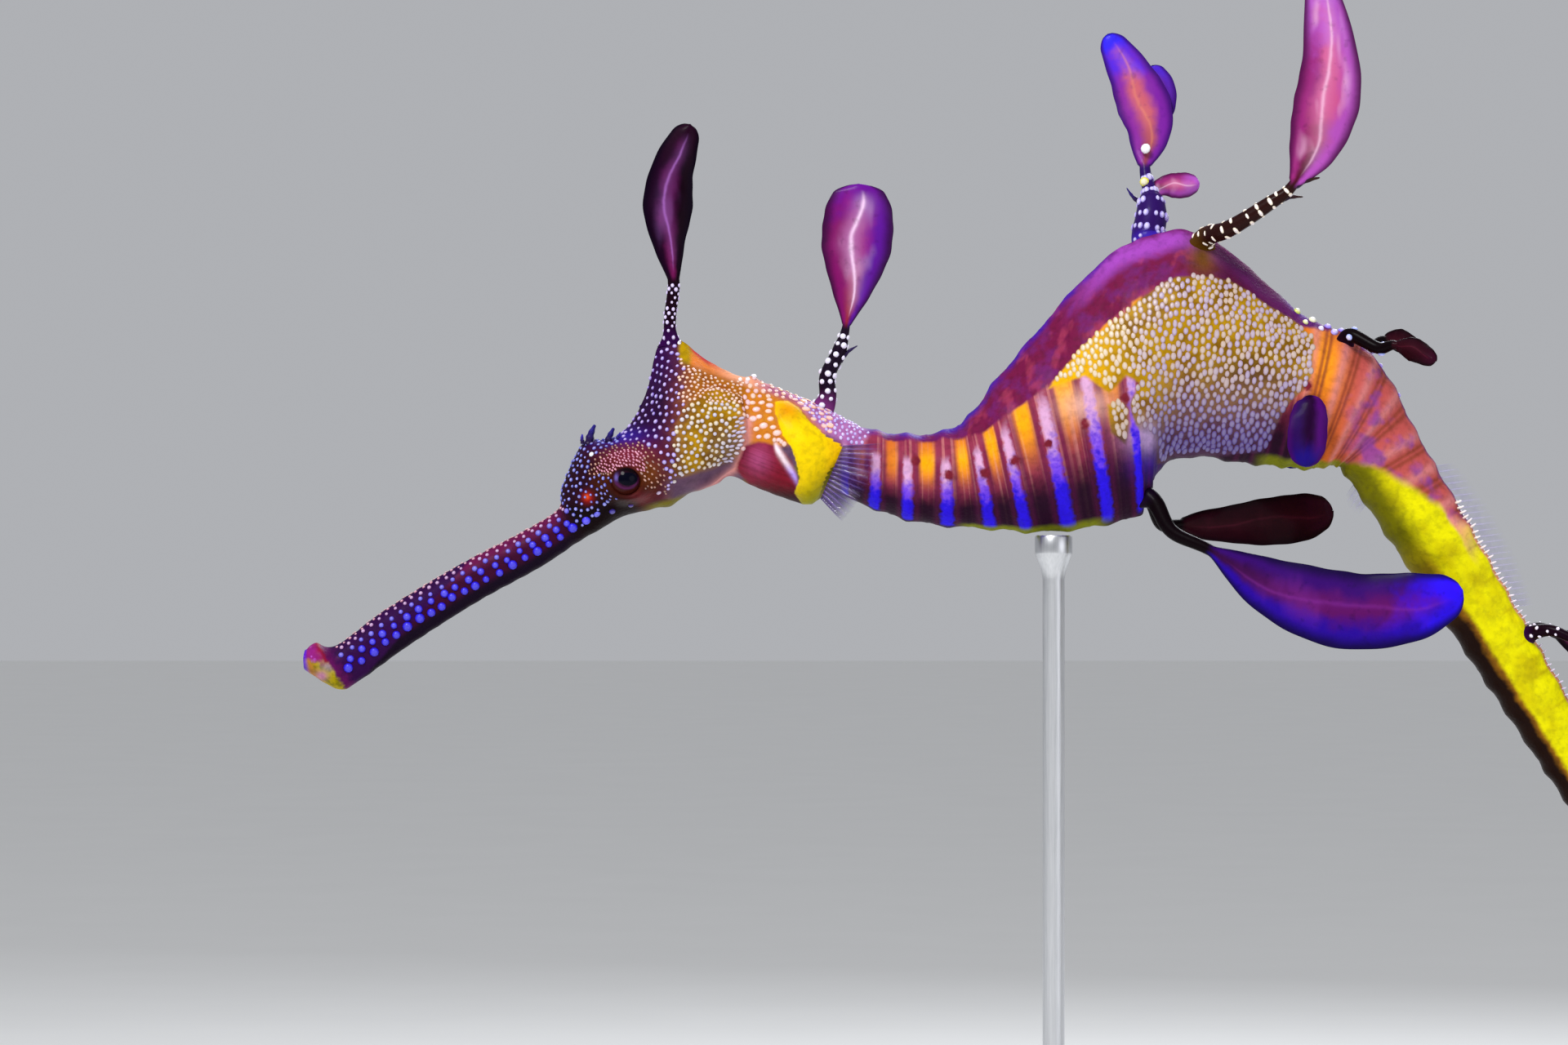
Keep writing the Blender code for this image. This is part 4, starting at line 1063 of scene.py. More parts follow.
def eye_finish():
    f = Finish("eye", Coat_Weight=0.08, Coat_Roughness=0.05, Specular_IOR_Level=0.03)
    x, z = f.side_view()
    out = off_centre(x, z, (0.25, 0.15), 1.35)
    flecks = f.noise(0.5, 3.0)
    iris = f.coats(
        "1a0414",
        ("340a2a", f.soft(flecks, 0.35, 0.7)),
        # Painted highlight: a pale lilac reflection on the left of the eye.
        ("6a5aa8", f.spot(x, z, (-1.35, 0.3), (0.32, 0.6)) * 0.95),
        ("541a4c", f.bell(out - 1.8, 0.28) * f.soft(z, 0.4, -0.9) * 0.9),
        ("0a0206", f.soft(z + x * 0.3, 0.7, 1.7)),
        ("3c140e", f.soft(out, 1.8, 2.3)),
    )
    hole = off_centre(x, z, (0.5, 0.1), 2.1)
    f.colour(f.mix("020212", iris, f.soft(hole, 1.42, 1.6)))
    f.set("Roughness", 0.12 + 0.1 * flecks)
    return f.material


def fin_finish(name, clear, ray, alpha, ray_alpha):
    f = Finish(name, Roughness=0.3, Coat_Weight=0.2, Specular_IOR_Level=0.25)
    on_ray = f.bell(f.measure("ray").past_whole(), 0.1)
    mist = f.noise(1.2)
    f.colour(f.coats(clear, ("4a2080", mist * 0.6), (ray, on_ray * 0.8)))
    f.set("Alpha", (alpha + ray_alpha * on_ray + 0.2 * (mist - 0.5)) * f.soft(f.measure("out"), 1.1, 0.3))
    f.bump(f.noise(0.6), 0.02)
    return f.material


def wood_finish():
    f = Finish("dark_walnut", Coat_Weight=0.35, Coat_Roughness=0.2)
    rings = f.noise(9.0, 4.0, (0.12, 1, 1))
    fibres = f.noise(0.6, 3.0, (0.04, 1, 1))
    bands = (rings * 34.0).through("SINE") * 0.5 + 0.5
    pores = f.soft(fibres, 0.62, 0.8)
    f.colour(f.coats("2a1408", ("5d3418", bands * 0.6 + fibres * 0.4), ("1a0c05", pores * 0.7)))
    f.set("Roughness", 0.34 + 0.2 * fibres)
    f.bump(fibres * 0.7 + bands * 0.3, 0.05)
    return f.material


def steel_finish():
    f = Finish("brushed_steel", Metallic=1.0)
    brush = f.noise(0.25, 2.0, (1, 1, 0.03))
    f.colour(f.mix("b9bbbf", "dcdde0", brush))
    f.set("Roughness", 0.22 + 0.2 * brush)
    f.bump(brush, 0.01)
    return f.material


def floor_finish():
    f = Finish("pale_floor", Roughness=0.75)
    f.colour(f.mix("f2f2f0", "f6f6f4", f.noise(60.0)))
    return f.material


# --- the skin ---
# Rings that go on from the skin's ends: size for that of the end ring, and how far along.
MOUTH_CUP = ((0.2, 2.6), (0.45, 2.4), (0.6, 1.6), (0.68, 0.8), (0.76, 0.2), (0.86, -0.12), (0.95, -0.15))
MOUTH_STATIONS = (-0.5, -0.45, -0.4, -0.3, -0.1, 0.0, 0.0)
TAIL_POINT = ((0.8, 0.2), (0.4, 0.4))


def with_mouth(points, fields):
    """Adds the lips' inner side and the small mouth at the front, and closes the tip of the tail."""
    rim, tip = points[0], points[-1]
    inward = unit(points[4].mean(axis=0) - rim.mean(axis=0))
    ahead = unit(tip.mean(axis=0) - points[-4].mean(axis=0))

    def shrunk(ring, way, steps):
        middle = ring.mean(axis=0)
        return np.array([middle + (ring - middle) * scale + way * far for scale, far in steps])

    grid = np.concatenate([shrunk(rim, inward, MOUTH_CUP), points, shrunk(tip, ahead, TAIL_POINT)])
    before, after = len(MOUTH_CUP), len(TAIL_POINT)
    longer = {name: np.pad(values, ((before, after), (0, 0)), "edge") for name, values in fields.items()}
    longer["station"][:before] = np.array(MOUTH_STATIONS)[:, None]
    return grid, longer


def build_skin(points, fields):
    grid, fields = with_mouth(points, fields)
    body = ["mouth", "snout", "head", "neck", "trunk_front", "trunk_middle", "trunk_hump", "trunk_rear"]
    body += [f"tail_{i}" for i in range(1, 6)]
    piece("skin", tube("skin", grid, fields), skin_finish(), body)


# --- beads ---
class Beads(list):
    """Places, facings, sizes, tints and roots of beads, gathered to be made into one piece."""

    def add(self, seat, size, tint, crown_highlight=CROWN_HIGHLIGHT):
        """A seat is a place, the way out, the way of the bead's length and its root on the unwrap.

        Sizes are across, along and high, in millimetres from the bead's middle.
        """
        place, out, along, root = seat
        z = unit(np.array(out))
        y = unit(np.array(along) - z * np.dot(along, z))
        facing = tuple(Matrix((np.cross(y, z), y, z)).transposed().to_euler())
        self.append((place, facing, [s * MM for s in size], (*tint[:3], crown_highlight), root))


def bead_tree():
    """Geometry nodes that set a low dome on every point of a mesh, as its measures say."""
    tree = bpy.data.node_groups.new("bead_domes", "GeometryNodeTree")
    face = tree.interface
    face.new_socket("Geometry", in_out="INPUT", socket_type="NodeSocketGeometry")
    sides = face.new_socket("Sides", in_out="INPUT", socket_type="NodeSocketInt")
    finish = face.new_socket("Finish", in_out="INPUT", socket_type="NodeSocketMaterial")
    face.new_socket("Geometry", in_out="OUTPUT", socket_type="NodeSocketGeometry")
    sides.default_value = BEAD_SIDES

    def node(kind, settings=None, sockets=None):
        return add_node(tree, kind, settings, sockets)

    def named(label):
        sockets = {"Name": label}
        return node("GeometryNodeInputNamedAttribute", {"data_type": "FLOAT_VECTOR"}, sockets).outputs[0]

    def stored(geometry, label, kind, value):
        sockets = {"Geometry": geometry, "Name": label, "Value": value}
        return node("GeometryNodeStoreNamedAttribute", {"data_type": kind}, sockets).outputs[0]

    given = node("NodeGroupInput").outputs
    ball = {"Segments": given["Sides"], "Rings": BEAD_RINGS, "Radius": 1.0}
    ball = node("GeometryNodeMeshUVSphere", None, ball).outputs["Mesh"]
    spot = node("GeometryNodeInputPosition").outputs[0]
    height = node("ShaderNodeSeparateXYZ", None, {"Vector": spot}).outputs["Z"]
    low = node("FunctionNodeCompare", {"operation": "LESS_THAN"}, {0: height, 1: BEAD_CUT}).outputs[0]
    dome = node("GeometryNodeDeleteGeometry", None, {"Geometry": ball, "Selection": low}).outputs[0]
    dome = stored(dome, "crown", "FLOAT", height)
    dome = stored(dome, "spread", "FLOAT_VECTOR", spot)
    sockets = {"Points": given["Geometry"], "Instance": dome}
    sockets.update({"Rotation": named("facing"), "Scale": named("size")})
    placed = node("GeometryNodeInstanceOnPoints", None, sockets).outputs[0]
    real = node("GeometryNodeRealizeInstances", None, {"Geometry": placed}).outputs[0]
    smoothed = node("GeometryNodeSetShadeSmooth", None, {"Geometry": real}).outputs[0]
    sockets = {"Geometry": smoothed, "Material": given["Finish"]}
    painted = node("GeometryNodeSetMaterial", None, sockets).outputs[0]
    node("NodeGroupOutput", None, {"Geometry": painted})
    return tree, sides.identifier, finish.identifier


def build_beads(name, beads, tree, finish):
    """One plain mesh of domes from the gathered beads."""
    group, sides_input, finish_input = tree
    mesh = bpy.data.meshes.new(name + "_points")
    places, *measures = zip(*beads)
    mesh.from_pydata((np.array(places) * MM + EYE).tolist(), [], [])
    for label, values in zip(("facing", "size", "tint", "root"), measures):
        kind, field = ("FLOAT_COLOR", "color") if label == "tint" else ("FLOAT_VECTOR", "vector")
        mesh.attributes.new(label, kind, "POINT").data.foreach_set(field, np.array(values, float).ravel())
    holder = linked(name + "_points", mesh)
    made = holder.modifiers.new("domes", "NODES")
    made.node_group = group
    made[sides_input] = BEAD_SIDES
    made[finish_input] = finish
    solid = bpy.data.meshes.new_from_object(holder.evaluated_get(bpy.context.evaluated_depsgraph_get()))
    solid.name = name
    holder.modifiers.remove(made)
    bpy.data.objects.remove(holder)
    bake_map(solid)
    piece(name, solid, finish)


def bake_map(mesh):
    """Gives each bead a small patch at its root's place on the skin's unwrap."""
    count = len(mesh.vertices)
    root, spread = np.empty(count * 3), np.empty(count * 3)
    mesh.attributes["root"].data.foreach_get("vector", root)
    mesh.attributes["spread"].data.foreach_get("vector", spread)
    patch = root.reshape(-1, 3)[:, :2] + spread.reshape(-1, 3)[:, :2] * MAP_PATCH
    corners = np.empty(len(mesh.loops), int)
    mesh.loops.foreach_get("vertex_index", corners)
    layer = mesh.uv_layers.new(name="OFBake")
    layer.data.foreach_set("uv", patch[corners].ravel())
    for label in ("spread", "root", "facing", "size"):
        mesh.attributes.remove(mesh.attributes[label])


class Skin:
    """The finished skin as something that beads can be scattered on."""

    def __init__(self, points, fields):
        self.points, self.fields = points, fields
        self.normals = outward(points)
        self.around = unit(np.roll(points, -1, axis=1) - np.roll(points, 1, axis=1))
        ahead = points[1:] - points[:-1]
        beside = np.roll(points, -1, axis=1) - points
        self.area = np.linalg.norm(np.cross(ahead, beside[:-1]), axis=-1)

    def at(self, row, column):
        """Place on the skin at whole and part rows and columns."""
        r, c = int(row), int(column)
        fr, fc = row - r, column - c
        p, q = self.points[r], self.points[min(r + 1, len(self.points) - 1)]
        d = (c + 1) % AROUND
        c %= AROUND
        return (p[c] * (1 - fc) + p[d] * fc) * (1 - fr) + (q[c] * (1 - fc) + q[d] * fc) * fr

    def seat(self, row, column):
        """A bead's seat at a row and column."""
        r, c = int(row), int(column) % AROUND
        root = (row / len(self.points), column / AROUND, 0)
        return self.at(row, column), self.normals[r, c], self.around[r, c], root

    def row_at(self, station):
        stations = self.fields["station"][:, 0]
        return float(np.interp(station, stations, np.arange(len(stations))))

    def side_seat(self, station, turn, side):
        """A seat at a turn above the side, on the left (-1) or the right (1)."""
        return self.seat(self.row_at(station), (90 + side * (90 - turn)) / 360 * AROUND)

    def scatter(self, zone, spacing, stretch, seed):
        """Evenly spread rows and columns over a zone, as cells settle against each other."""
        rng = np.random.default_rng(seed)
        weight = (self.area * zone[:-1]).ravel()
        total = weight.sum()
        tries = int(total / spacing**2 / stretch * TRIES) + 10
        cells = rng.choice(weight.size, tries, p=weight / total)
        rows = cells // AROUND + rng.random(tries)
        columns = cells % AROUND + rng.random(tries)
        spots = np.array([self.at(r, c) for r, c in zip(rows, columns)])
        flat = spots * np.array([1, 1, 1 / stretch])
        seeds = thinned(flat, spacing * CLOSENESS)
        for _ in range(SETTLING_ROUNDS):
            seeds = settled(flat, seeds)
        return [(rows[i], columns[i]) for i in seeds]


def thinned(spots, apart):
    """Indices of spots that are all at least this far apart."""
    kept, grid = [], {}
    steps = list(product((-1, 0, 1), repeat=3))
    for i, p in enumerate(spots):
        key = tuple((p // apart).astype(int))
        near = [j for step in steps for j in grid.get(tuple(k + s for k, s in zip(key, step)), ())]
        if all(np.sum((spots[j] - p) ** 2) > apart * apart for j in near):
            kept.append(i)
            grid.setdefault(key, []).append(i)
    return kept


def tree_of(spots):
    """A search tree that finds the nearest of some spots."""
    tree = kdtree.KDTree(len(spots))
    for i, p in enumerate(spots):
        tree.insert(p, i)
    tree.balance()
    return tree


def settled(spots, seeds):
    """Moves each seed to the spot nearest the middle of those that it is closest to."""
    tree = tree_of(spots[seeds])
    owner = np.array([tree.find(p)[1] for p in spots])
    sums = np.zeros((len(seeds), 3))
    np.add.at(sums, owner, spots)
    counts = np.bincount(owner, minlength=len(seeds))[:, None]
    everything = tree_of(spots)
    return [everything.find(target)[1] for target in sums / np.maximum(counts, 1)]


def zones(points, f):
    """Where each kind of bead grows: places, spacing, stretch, size, tints, how long some are, and the
    strength of the painted highlight on their crowns.
    """
    x, z = points[..., 0], points[..., 2]
    station, height, orbit, gill, pad = (f[name] for name in ("station", "height", "orbit", "gill", "pad"))
    head = (station > 6.3) & (station < 18.9) & (height > -0.8)
    bare = (pad > -0.3) | (f["flesh"] > -0.2) | (inside(CREST_BACK, x, z) > 0.1) & (x < 19.5)
    bare |= (z < x * 0.295 - 2.2 - 2.4 * soft(x, 8.6, 6.2)) & (x > 5) | (height < -0.55) & (x < 6)
    bare |= (orbit < 2.45) | (gill > -1.0) & (gill < 0.45) & (x > 14.5) & (z < 9.5)
    free = head & ~bare & ~((orbit < 3.3) & (z < -0.5))
    wander = 0.6 * np.sin(z * 2.3) + 0.3 * np.sin(z * 5.1 + 1.0)
    kinds = (
        ("face", (orbit < 5.2) & (z > 1.0) & (x < 3.2),
         0.60, 1.0, (0.16, 0.23, 0.14), ("a84468", "e08ca4"), 0.4, 0.22),
        ("cheek", (orbit < 6.4) & ((x > -1.0) | (z > 0.5)),
         0.86, 1.0, (0.17, 0.23, 0.13), ("74401c", "bc8468"), 0.3, 0.2),
        ("brow", (x < -1.0) & (z < 10.5),
         1.08, 1.0, (0.29, 0.29, 0.21), ("2c34a8", "7478d8"), 0, 0.3),
        ("ridge", (x > 8.9 + wander) & (x < 18.5) & (z > 12.0),
         0.82, 1.0, (0.27, 0.27, 0.16), ("d8a878", "e8b8a0"), 0, 0.35),
        ("fringe", (gill > 0.5) & (gill < 2.2) & (x > 14.8) & (z < 10.0),
         1.15, 0.66, (0.50, 0.25, 0.18), ("9c8cb0", "bcacb4"), 0, 0.3),
        ("gill", (gill > 0.75) & (x > 8.2 - z * 0.12 + wander),
         0.99, 1.0, (0.36, 0.36, 0.22), ("d4bc80", "b4acc0"), 0, 0.4),
        ("shoulder", (x > 19.6) & (z < 12.8) & (z > 6.0),
         1.62, 0.8, (0.64, 0.46, 0.18), ("f0b080", "ecb0a4"), 0.1, 0.4),
        ("nape", x > 18.0,
         1.25, 1.1, (0.39, 0.42, 0.18), ("e8b888", "dca8b0"), 0.3, 0.3),
        ("crest", x > -30,
         1.36, 1.0, (0.35, 0.35, 0.22), ("6c4cb8", "b094e0"), 0.1, 0.42),
    )
    taken, found = np.zeros_like(free), {}
    for name, place, *ways in kinds:
        found[name] = (free & place & ~taken, *ways)
        taken |= free & place
    saddle = (f["saddle"] > 0.1) & (pad < -0.3) & (station > 16)
    found["saddle"] = (saddle, 0.95, 1.0, (0.27, 0.34, 0.13), ("d0b8ee", "a488dc"), 0.2, 0.3)
    patch = (f["patch"] > 0.2) & (height > -0.95)
    found["patch"] = (patch, 0.98, 1.3, (0.42, 0.58, 0.10), ("b89a78", "a088a4"), 0.2, 0.24)
    return found


def blended(first, second, share):
    """A colour part of the way from the first to the second."""
    return np.array(first) * (1 - share) + np.array(second) * share


def patch_tint(x, z, shade):
    """The hump's spots are cream in front, and turn violet low down."""
    low = soft(z, 20.0, 5.0) * (0.3 + 0.7 * soft(x, 80.0, 86.0))
    return blended(blended(shade, paint("d4b464"), soft(x, 84.0, 74.0)), paint("4a3084"), low)


def skin_beads(skin, head, body):
    """Beads over the head and neck, and the oval spots of the hump."""
    for seed, (name, ways) in enumerate(zones(skin.points, skin.fields).items()):
        zone, spacing, stretch, size, tints, long, crown_highlight = ways
        rng = np.random.default_rng(ZONE_SEED + seed)
        for row, column in skin.scatter(zone, spacing, stretch, seed):
            seat = skin.seat(row, column)
            x, _, z = seat[0]
            scale = rng.uniform(*(MIXED_SIZES if name in MIXED_KINDS else LIKE_SIZES))
            grown = 1 + long * max(0.0, rng.normal(0, 0.8))
            shade = blended(paint(tints[0]), paint(tints[1]), rng.random())
            highlight_strength = crown_highlight
            if name == "patch":
                grown += 0.45 * soft(z, 10, 5)
                shade = patch_tint(x, z, shade)
                highlight_strength += 0.14 * soft(x, 86, 74) - 0.1 * soft(z, 20, 6)
            spread = (size[0] * scale, size[1] * scale * grown, size[2] * scale)
            (body if name == "patch" else head).add(seat, spread, shade, highlight_strength)


SNOUT_COURSES = (  # turn in degrees, spacing, size, tint, offset, last station, strength of the painted crown highlight
    (-14, 2.2, 0.72, "2414d4", 0.0, 6.5, 0.06),
    (9, 2.2, 0.61, "2c20d8", 0.5, 6.6, 0.08),
    (30, 1.9, 0.46, "5a50d0", 0.1, 6.6, 0.14),
    (50, 1.5, 0.32, "b080b0", 0.6, 6.4, 0.25),
    (68, 1.3, 0.26, "c48498", 0.2, 6.3, 0.2),
    (88, 1.4, 0.22, "cca0a0", 0.7, 6.3, 0.2),
)
SNOUT_COURSES_FROM = 1.95  # station


def snout_beads(skin, beads):
    """Rows of beads along the snout, large and blue low down, small and pale on top."""
    stations = skin.fields["station"][:, 0]
    steps = np.linalg.norm(np.diff(skin.points.mean(axis=1), axis=0), axis=1)
    length = np.concatenate([[0], np.cumsum(steps)])
    start = float(np.interp(SNOUT_COURSES_FROM, stations, length))
    rng = np.random.default_rng(SNOUT_SEED)
    for degrees, spacing, size, tint, offset, end, crown_highlight in SNOUT_COURSES:
        for turn in (degrees, 180 - degrees):
            far = start + offset * spacing
            while far < np.interp(end, stations, length):
                row = float(np.interp(far, length, np.arange(len(length))))
                column = (turn % 360 + rng.uniform(-4, 4)) % 360 / 360 * AROUND
                grown = size * rng.uniform(0.78, 1.12)
                beads.add(skin.seat(row, column), (grown, grown, grown * 0.75), paint(tint), crown_highlight)
                far += spacing * rng.uniform(0.86, 1.14)


SINGLE_BEADS = (  # x, z, half size across, half size along, tint
    (-6.2, -6.4, 0.70, 0.70, "4438f0"), (-4.5, -5.5, 0.45, 0.60, "5a58d8"),
    (-2.2, -4.9, 0.52, 0.52, "3a2aa0"), (0.8, -3.9, 0.46, 0.46, "3c1e80"),
    (-5.4, 3.9, 0.42, 0.42, "eef4ff"), (5.2, -2.0, 0.34, 0.42, "c8b0d0"),
    (19.4, 15.9, 0.42, 0.42, "ffeef4"), (20.4, 16.8, 0.62, 0.50, "f4f0ff"),
    (18.2, 15.9, 0.55, 0.34, "ffe4dc"), (8.3, 22.0, 0.62, 0.42, "ffffff"),
)
BACK_BEADS = (  # station, turn, half size, tint
    (31.75, 78, 0.62, "d8e070"), (31.95, 66, 0.50, "e8e8a0"), (32.1, 80, 0.66, "f0f0c8"),
    (32.3, 68, 0.52, "e0d8ff"), (32.45, 82, 0.60, "a890ff"), (32.6, 70, 0.66, "b8a8ff"),
    (32.75, 82, 0.55, "9a88ff"), (32.95, 74, 0.60, "8e7cff"), (33.3, 80, 0.50, "b8a0f0"),
    (33.8, 82, 0.42, "a890f0"), (34.4, 82, 0.40, "a890f0"),
)
FAR_AWAY = 99.0


def single_beads(skin, beads):
    """Beads with a place of their own: on the cheek, the nape, and the back behind the hump."""
    for side, _ in SIDES:
        facing = skin.normals[..., 1] * side > 0.05
        for x, z, wide, long, tint in SINGLE_BEADS:
            away = np.hypot(skin.points[..., 0] - x, skin.points[..., 2] - z) + FAR_AWAY * ~facing
            seat = skin.seat(*np.unravel_index(np.argmin(away), away.shape))
            beads.add(seat, (long, wide, min(wide, long) * 0.7), paint(tint), 0.1 if z < 0 else 0.45)
        for station, turn, size, tint in BACK_BEADS:
            beads.add(skin.side_seat(station, turn, side), (size, size, size * 0.9), paint(tint))


def edge_beads(skin, beads):
    """Pale teeth along the tail's upper edge."""
    for side, _ in SIDES:
        for n in range(TEETH):
            station = TEETH_FROM + n * TEETH_STEP * (1 + n * TEETH_GROWTH)
            fade = 1 - 0.6 * n / TEETH
            tint = blended(paint("fff0e4"), paint("9a80e8"), n / TEETH)
            size = (0.20 * fade, 0.34 * fade, 1.15 * fade)
            beads.add(skin.side_seat(station, TEETH_TURN, side), size, tint)


# --- flaps ---
def flap_grid(path, join, girth, width, outline, curl):
    """Rings along a stalk and its leaf. The stalk ends at point number join of the path."""
    path = np.array(path, float)
    last = len(path) - 1
    stem_rows = 6 + int(join * 10) if join else 0
    stem_stations = np.linspace(0, join, stem_rows, endpoint=False)
    stations = np.concatenate([stem_stations, np.linspace(join, last, LEAF_ROWS)])
    share = np.clip((stations - join) / (last - join), 0, 1)
    centre = smooth(path, stations)
    along = unit(smooth(path, stations + 0.03) - smooth(path, stations - 0.03))
    across = unit(np.cross(along, np.array([0, 1.0, 0])))
    flat = unit(np.cross(across, along))
    marks, *radii = np.array(girth, float).T
    stem, depth = (np.interp(stations, marks, radius) for radius in radii)
    grown = smooth(np.array(outline)[:, None], share * (len(outline) - 1))[:, 0]
    ripple = 1 + 0.012 * np.sin(share * 17) + 0.010 * np.sin(share * 41 + 1)
    base = stem[-1] * (1 - share) ** 3
    round_off = np.sqrt(np.clip(1 - ((share - TIP_FROM) / 0.1001) ** 2, 0.0, 1))
    tip = np.where(share > TIP_FROM, round_off, 1.0)
    wide = np.where(share > 0, np.maximum(width / 2 * grown * ripple, base) * tip, stem)
    thick = np.where(share > 0, np.maximum(BLADE_THICKNESS / 2 * np.sqrt(grown) * tip, base), depth)
    wide, thick = np.maximum(wide, THINNEST), np.maximum(thick, THINNEST)
    angle = full_turn(FLAP_COLUMNS)
    cosine, sine = np.cos(angle)[None, :], np.sin(angle)[None, :]
    blade = soft(share, 0.02, 0.3)[:, None]
    lens = 1 - blade * 0.62 * np.abs(cosine) ** 1.3
    cupped = curl * (cosine**2) * soft(share, 0, 0.6)[:, None]
    bow = blade * (cupped + 0.22 * np.sin(share * 13)[:, None] * cosine * np.abs(cosine))
    points = centre[:, None] + across[:, None] * (wide[:, None] * cosine)[..., None]
    points += flat[:, None] * (thick[:, None] * sine * lens + bow)[..., None]
    outward_share = np.where(share > 0, share, stations / join - 1.0 if join else 0.0)
    fields = {
        "outward": np.repeat(outward_share[:, None], FLAP_COLUMNS, axis=1),
        "across": np.repeat(cosine, len(stations), axis=0),
    }
    return points, fields, stations


def build_flap(name, path, join, girth, width, outline, curl, finish, nodes=()):
    """A leaf with its stalk, or on its own where join is 0."""
    points, fields, stations = flap_grid(path, join, girth, width, outline, curl)
    piece("flap_" + name, tube("flap_" + name, points, fields), finish, nodes)
    return points, stations


def stalk_beads(points, stations, join, plan, beads, root):
    """Beads round a stalk in staggered rows."""
    if not plan:
        return
    count, per_row, size, long, tint, start = plan
    rng = np.random.default_rng(int(root[0] * 10))
    stop = join - 0.12 if join > 3 else join - 0.3
    lengthwise = size >= 0.35 or long <= 1.5
    for n in range(count):
        at = start + (stop - start) * (n + 0.5) / count
        row = int(np.argmin(np.abs(stations - at)))
        unwrapped = (root[0] / LAST, root[1] / 360 % 1 + n * 0.004, 0)
        for k in range(per_row):
            if rng.random() < STALK_BEAD_MISSING:
                continue
            share = (k + 0.5 * (n % 2) + rng.uniform(-STALK_BEAD_STRAY, STALK_BEAD_STRAY)) / per_row
            place = points[row, int(share * FLAP_COLUMNS) % FLAP_COLUMNS]
            out = place - points[row].mean(axis=0)
            along = points[min(row + 1, len(points) - 1)].mean(axis=0) - points[row - 1].mean(axis=0)
            grown = size * rng.uniform(0.75, 1.2)
            wide, far = (grown, grown * long) if lengthwise else (grown * long, grown)
            beads.add((place - unit(out) * 0.1, out, along, unwrapped), (wide, far, grown * 0.8), paint(tint))


def even(radius):
    """The girth of a foot that is round and keeps one radius."""
    return (0, radius, radius), (3, radius, radius)


def back_and_belly_flaps(finishes, beads):
    for plan in FLAPS:
        here, out = body_spot(*plan["root"])
        path = [here - out * 1.4, here + out * (GAP + plan["rise"]), *plan["stalk"], *plan["leaf"]]
        join = 1 + len(plan["stalk"])
        shape = (plan[key] for key in ("girth", "width", "outline", "curl"))
        nodes = ("stalk_" + plan["name"], "leaf_" + plan["name"])
        points, stations = build_flap(plan["name"], path, join, *shape, finishes[plan["paint"]], nodes)
        stalk_beads(points, stations, join, plan["beads"], beads, plan["root"])
    for name, path, radius, width, outline, curl, look, nodes in LONE_LEAVES:
        build_flap(name, path, 0, even(radius), width, outline, curl, finishes[look], nodes)
    for place, out, tint, size in STALK_PEARLS:
        beads.add((place, out, (0, 0, 1), (0.6, 0.4, 0)), (size, size, size * 0.8), paint(tint))


def vent_flaps(finishes):
    station, angle = VENT_LEAF["root"]
    for side, name in SIDES:
        here, out = body_spot(station, 90 + side * (90 - angle))
        splay = np.array([0, math.copysign(VENT_LEAF["splay"], out[1]), 0])
        start = here + out * (GAP + VENT_LEAF["radius"])
        drop = np.array([VENT_LEAF["lean"], 0, -VENT_LEAF["drop"]])
        path = [start - drop * 0.1 - out, start, start + (drop + splay) / 2, start + drop + splay]
        build_flap("vent_" + name, path, 0, even(VENT_LEAF["radius"]), VENT_LEAF["width"], STUB, -0.3 * side,
                   finishes["night"], ("leaf_vent_" + name,))


def tail_flaps(finishes, beads):
    for name, share, stalk_length, leaf_length, width in TAIL_LEAVES:
        u = tail_station(share)
        trail = trail_at(u, 90, 0.2)
        for side, label in SIDES:
            angle = 90 + side * (90 - TAIL_LEAF_ANGLE)
            here, out = body_spot(u, angle)
            tip = here + out * stalk_length + trail * stalk_length * 0.5
            blade = [tip + (out * a + trail * b) * leaf_length for a, b in TAIL_LEAF_CURVE]
            elbow = here + out * stalk_length * 0.6 + trail * stalk_length * 0.12
            path = [here - out * 0.7, here + out * (GAP + 0.9), elbow, tip, *blade]
            label = f"{name}_{label}"
            points, stations = build_flap(label, path, 3, SLIM, width, LANCE, -0.4 * side, finishes["plum"],
                                          ("stalk_" + label, "leaf_" + label))
            stalk_beads(points, stations, 3, TAIL_STALK_BEADS, beads, (u, angle))


def build_spine(label, foot, tip, radius, finish):
    """A small pointed spine, slightly bent."""
    start, end = np.array(foot), np.array(tip)
    bend = (start + end) / 2 + (end - start)[[2, 1, 0]] * np.array([-0.07, 0, 0.07])
    rows = np.linspace(0, 2, SPINE_ROWS)
    centre = smooth(np.array([start, bend, end]), rows)
    size = radius * (1 - rows / 2.12) ** 0.8 * (1 + 0.12 * np.sin(rows * 11))
    along = unit(end - start)
    side = unit(np.cross(along, np.array([0, 1.0, 0])))
    front = np.cross(side, along)
    angle = full_turn(SPINE_COLUMNS)
    ring = side * np.cos(angle)[:, None] + front * np.sin(angle)[:, None]
    grid = centre[:, None] + ring[None] * size[:, None, None]
    outward_share = np.repeat(rows[:, None] / 2, SPINE_COLUMNS, axis=1)
    piece(label, tube(label, grid, {"outward": outward_share}), finish)


def spine_finish(tip):
    f = Finish("spine_" + tip, Roughness=0.4, Coat_Weight=0.05, Specular_IOR_Level=0.15)
    towards_tip = f.measure("outward") + (f.noise(0.8) - 0.5) * 0.5
    f.colour(f.mix("200838", tip, f.soft(towards_tip, 0.2, 0.8)))
    f.bump(f.noise(0.4), 0.03)
    return f.material


def build_spines():
    """Small spines over the brow, and the thorns beside the stalks."""
    finishes = {tip: spine_finish(tip) for *_, tip in SPINES + THORNS}
    for name, foot, tip, radius, tint in SPINES:
        for side, label in SIDES:
            ends = ((p[0], side * p[1], p[2]) for p in (foot, tip))
            build_spine(f"{name}_{label}", *ends, radius, finishes[tint])
    for name, foot, tip, radius, tint in THORNS:
        build_spine(name, foot, tip, radius, finishes[tint])


